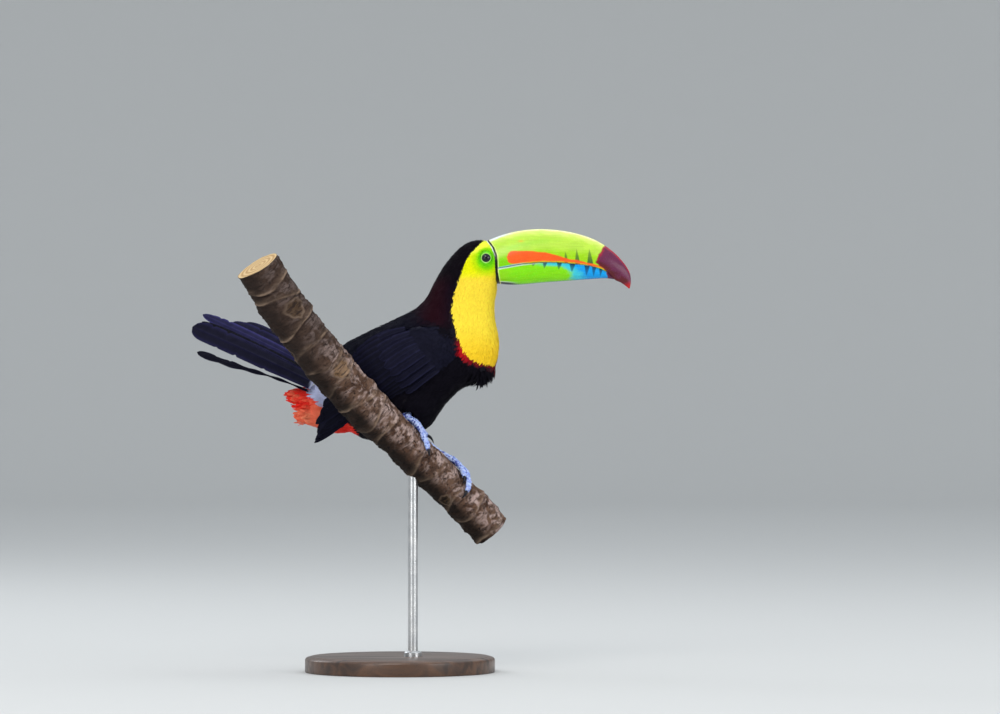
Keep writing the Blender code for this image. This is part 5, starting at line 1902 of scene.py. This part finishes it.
def bladeMesh(centres, across, face, halves, s, draw):
    # one closed feather: crowned above, flat below, a raised shaft and a few split barbs
    top = np.array((-1.0, -0.82, -0.6, -0.4, -0.2, -0.07, 0.0, 0.07, 0.2, 0.4, 0.6, 0.82, 1.0))
    low = np.array((0.6, 0.0, -0.6))
    count = len(centres)
    t = np.linspace(0, 1, count)
    splits = [np.ones(count), np.ones(count)]
    for split in splits:
        for spot in draw.integers(int(count * 0.35), count - 3, s["notches"]):
            split[spot] -= draw.uniform(0.08, 0.22)
    columns = np.concatenate([top, low])
    widths = np.where(columns[None] < 0, (halves * splits[0])[:, None], (halves * splits[1])[:, None])
    crown = s["thick"] * (1 - np.abs(columns) ** 2.0) + s["shaft"] * np.exp(-((columns / 0.055) ** 2))
    high = np.where(np.arange(len(columns)) < len(top), crown, -0.35 * s["thick"])
    fade = (0.35 + 0.65 * np.clip((1 - t) / 0.4, 0, 1))[:, None]
    grid = (centres[:, None] + across[:, None] * (widths * columns)[:, :, None]
            + face[:, None] * (high[None] * fade)[:, :, None])
    return (*closedGrid(grid), np.tile(columns, count), np.repeat(t, len(columns)))


def featherWidth(t, half, narrow=0.7, blunt=0.16):
    # half-width along a feather: narrower at the root, rounded over the last part
    wide = half * (narrow + (1 - narrow) * np.minimum(1, t / 0.4))
    end = np.clip((t - (1 - blunt)) / blunt, 0, 1)
    return wide * np.sqrt(np.maximum(1 - end**2.2, 0.004))


def featherPiece(name, blades, rootMap, tone, edge, lightness, cover=None):
    # blades as one piece, each with its own lightness and its own patch on the baking map
    points, faces = combine([blade[:2] for blade in blades])
    number = np.repeat(np.arange(len(blades)), [len(blade[0]) for blade in blades])
    across, along = (np.concatenate([blade[k] for blade in blades]) for k in (2, 3))
    # painted sheen: lighter along each blade's edges and down its shaft
    rim = ease(np.abs(across), 0.55, 1.0) * 0.65 + 0.25 * np.exp(-((across / 0.1) ** 2))
    light = np.asarray(lightness) * (0.9 + 0.2 * (np.arange(len(blades)) * 0.37 % 1.0))
    shades = light[number][:, None] * mix(tone, edge, rim)
    if cover:
        shades = mix(shades, cover[0], cover[1](points))
    made = toMesh(name, points, faces, materials=[wingCoat])
    tidyShell(made, 0.0)
    made.data.set_sharp_from_angle(angle=math.radians(coatLook["sharp"]))
    setColour(made, "plumage", shades)
    setMap(made, "barbs", np.stack([across * 0.5 + 0.5, along * 4.0 + number * 0.37], axis=1))
    patchMap(made, rootMap, number, across, along)
    return made


def wingSurface():
    # points on the wing's outer surface, and their distance from the mid-plane
    q = np.linspace(-1, 1, 70)
    rows = smoothRun(wingRows, 220)
    across = rows[:, 2, None] * q
    x = rows[:, 0, None] + wingLean[0] * across
    z = rows[:, 1, None] + wingLean[1] * across
    swell = np.sqrt(np.maximum(1 - np.abs(q) ** 1.74, 0.12))
    out = rows[:, 4, None] + rows[:, 3, None] * swell - 0.0025 * across**2
    return x.ravel(), z.ravel(), out.ravel()


wingX, wingZ, wingOut = wingSurface()


def wingReach(x, z):
    # distance from the mid-plane to the wing's outer surface, softly averaged
    gap = (x[:, None] - wingX) ** 2 + (z[:, None] - wingZ) ** 2
    weight = 1.0 / (gap + 2.0) ** 2
    near = np.argpartition(gap, 12, axis=1)[:, :12]
    rows = np.arange(len(x))[:, None]
    w = weight[rows, near]
    return (wingOut[near] * w).sum(axis=1) / w.sum(axis=1)


def wingBlades(rows, turn, s, draw, bow):
    blades, roots = [], []
    t = np.linspace(0, 1, s["rows"])
    rise = 0.25 + 0.75 * np.sin(math.pi * np.clip(t, 0, 0.5))
    fall = 1 - 0.6 * t**3
    for root, tip, half, layer in rows:
        root, tip = np.array(root, float), np.array(tip, float)
        way = unit(tip - root)
        line = root + (tip - root) * t[:, None]
        line = line + np.array((-way[1], way[0])) * (bow * np.sin(math.pi * t))[:, None]
        reach = wingReach(line[:, 0], line[:, 1])
        reach = np.convolve(np.pad(reach, 3, "edge"), np.ones(7) / 7, "valid")
        lift = s["sink"] + layer * rise * fall - s["rootDive"] * (1 - t) ** 7
        centres = np.stack([line[:, 0], side(line[:, 0]) + turn * (reach + lift), line[:, 1]], axis=1)
        ahead = unit(np.gradient(centres, axis=0))
        face = squareTo(np.tile((0.0, float(turn), 0.18), (len(t), 1)), ahead)
        across = np.cross(face, ahead)
        blades.append(bladeMesh(centres, across, face, featherWidth(t, half, blunt=0.3), s, draw))
        roots.append(centres[0])
    return blades, roots


def buildWings(s):
    draw = np.random.default_rng(s["wingSeed"])
    for which, turn in (("right", -1), ("left", 1)):
        quills, roots = wingBlades(quillRows, turn, s, draw, s["quillBow"])
        coverts, more = wingBlades(covertRows, turn, s, draw, s["covertBow"])
        blades = quills + coverts
        # painted shade: the lower, covered feathers are darker and the upper ones lighter
        made = featherPiece("wingFeathers_" + which, blades, wingMapOf(np.array(roots + more)),
                            s["quillTone"], s["quillSheen"], np.linspace(0.35, 1.0, len(blades)))
        finishPiece(made, "wing")


def paleRoot(spots):
    # the white rump covers the roots of the tail, but not the lowest feather's
    x, z = spots[:, 0] + 0.26 * (296 - spots[:, 2]), spots[:, 2]
    return ease(x, -89.4, -86.6) * ease(z, 279, 283)


def buildTail(s):
    # a cocked, half-folded fan of feathers, turned on its own axis
    draw = np.random.default_rng(s["tailSeed"])
    pitch, roll = math.radians(s["tailPitch"]), math.radians(s["tailRoll"])
    along = unit(np.array((-math.cos(pitch), 0.1, math.sin(pitch))))
    rise = np.array((math.sin(pitch), 0.0, math.cos(pitch)))
    across = rise * math.sin(roll) + np.array((0.0, 1.0, 0.0)) * math.cos(roll)
    across = unit(across - along * (across @ along))
    face = unit(np.cross(across, along))
    face = -face if face[1] > 0 else face
    startX, startZ = s["tailRoot"]
    root = np.array((startX, float(side(startX)), startZ))
    blades = []
    t = np.linspace(0, 1, s["rows"] + 20)
    for fan, length, half, offset, lift, _ in tailRows:
        a = math.radians(fan)
        run = along * math.cos(a) + across * math.sin(a)
        wide = across * math.cos(a) - along * math.sin(a)
        loose = half < s["looseHalf"]
        sway = s["looseSway"] * np.sin(t * 6.5) if loose else np.zeros(len(t))
        centres = (root + across * offset + run * (length * t)[:, None]
                   + face * (lift * (1 - 0.35 * t))[:, None]
                   + wide * sway[:, None] - face * (s["tailDroop"] * t * t)[:, None])
        width = featherWidth(t, half, 0.74, 0.12 if half > 9 else 0.26 if half > 5 else 0.06)
        if loose:
            width = width * (0.92 + 0.14 * np.sin(t * 30) - 0.55 * ease(0.8 - t, 0, 0.5))
        blades.append(bladeMesh(centres, *(np.tile(v, (len(t), 1)) for v in (wide, face)), width, s, draw))
    rootMap = np.stack([np.linspace(0.1, 0.9, len(blades)), np.full(len(blades), 0.5)], axis=1)
    made = featherPiece("tailFeathers", blades, rootMap, s["tailTone"], s["tailSheen"],
                        [row[5] for row in tailRows], (markTones["rump"], paleRoot))
    finishPiece(made, "tail", "tail")


buildWings(featherLook)
buildTail(featherLook)
print("stage: wings and tail")
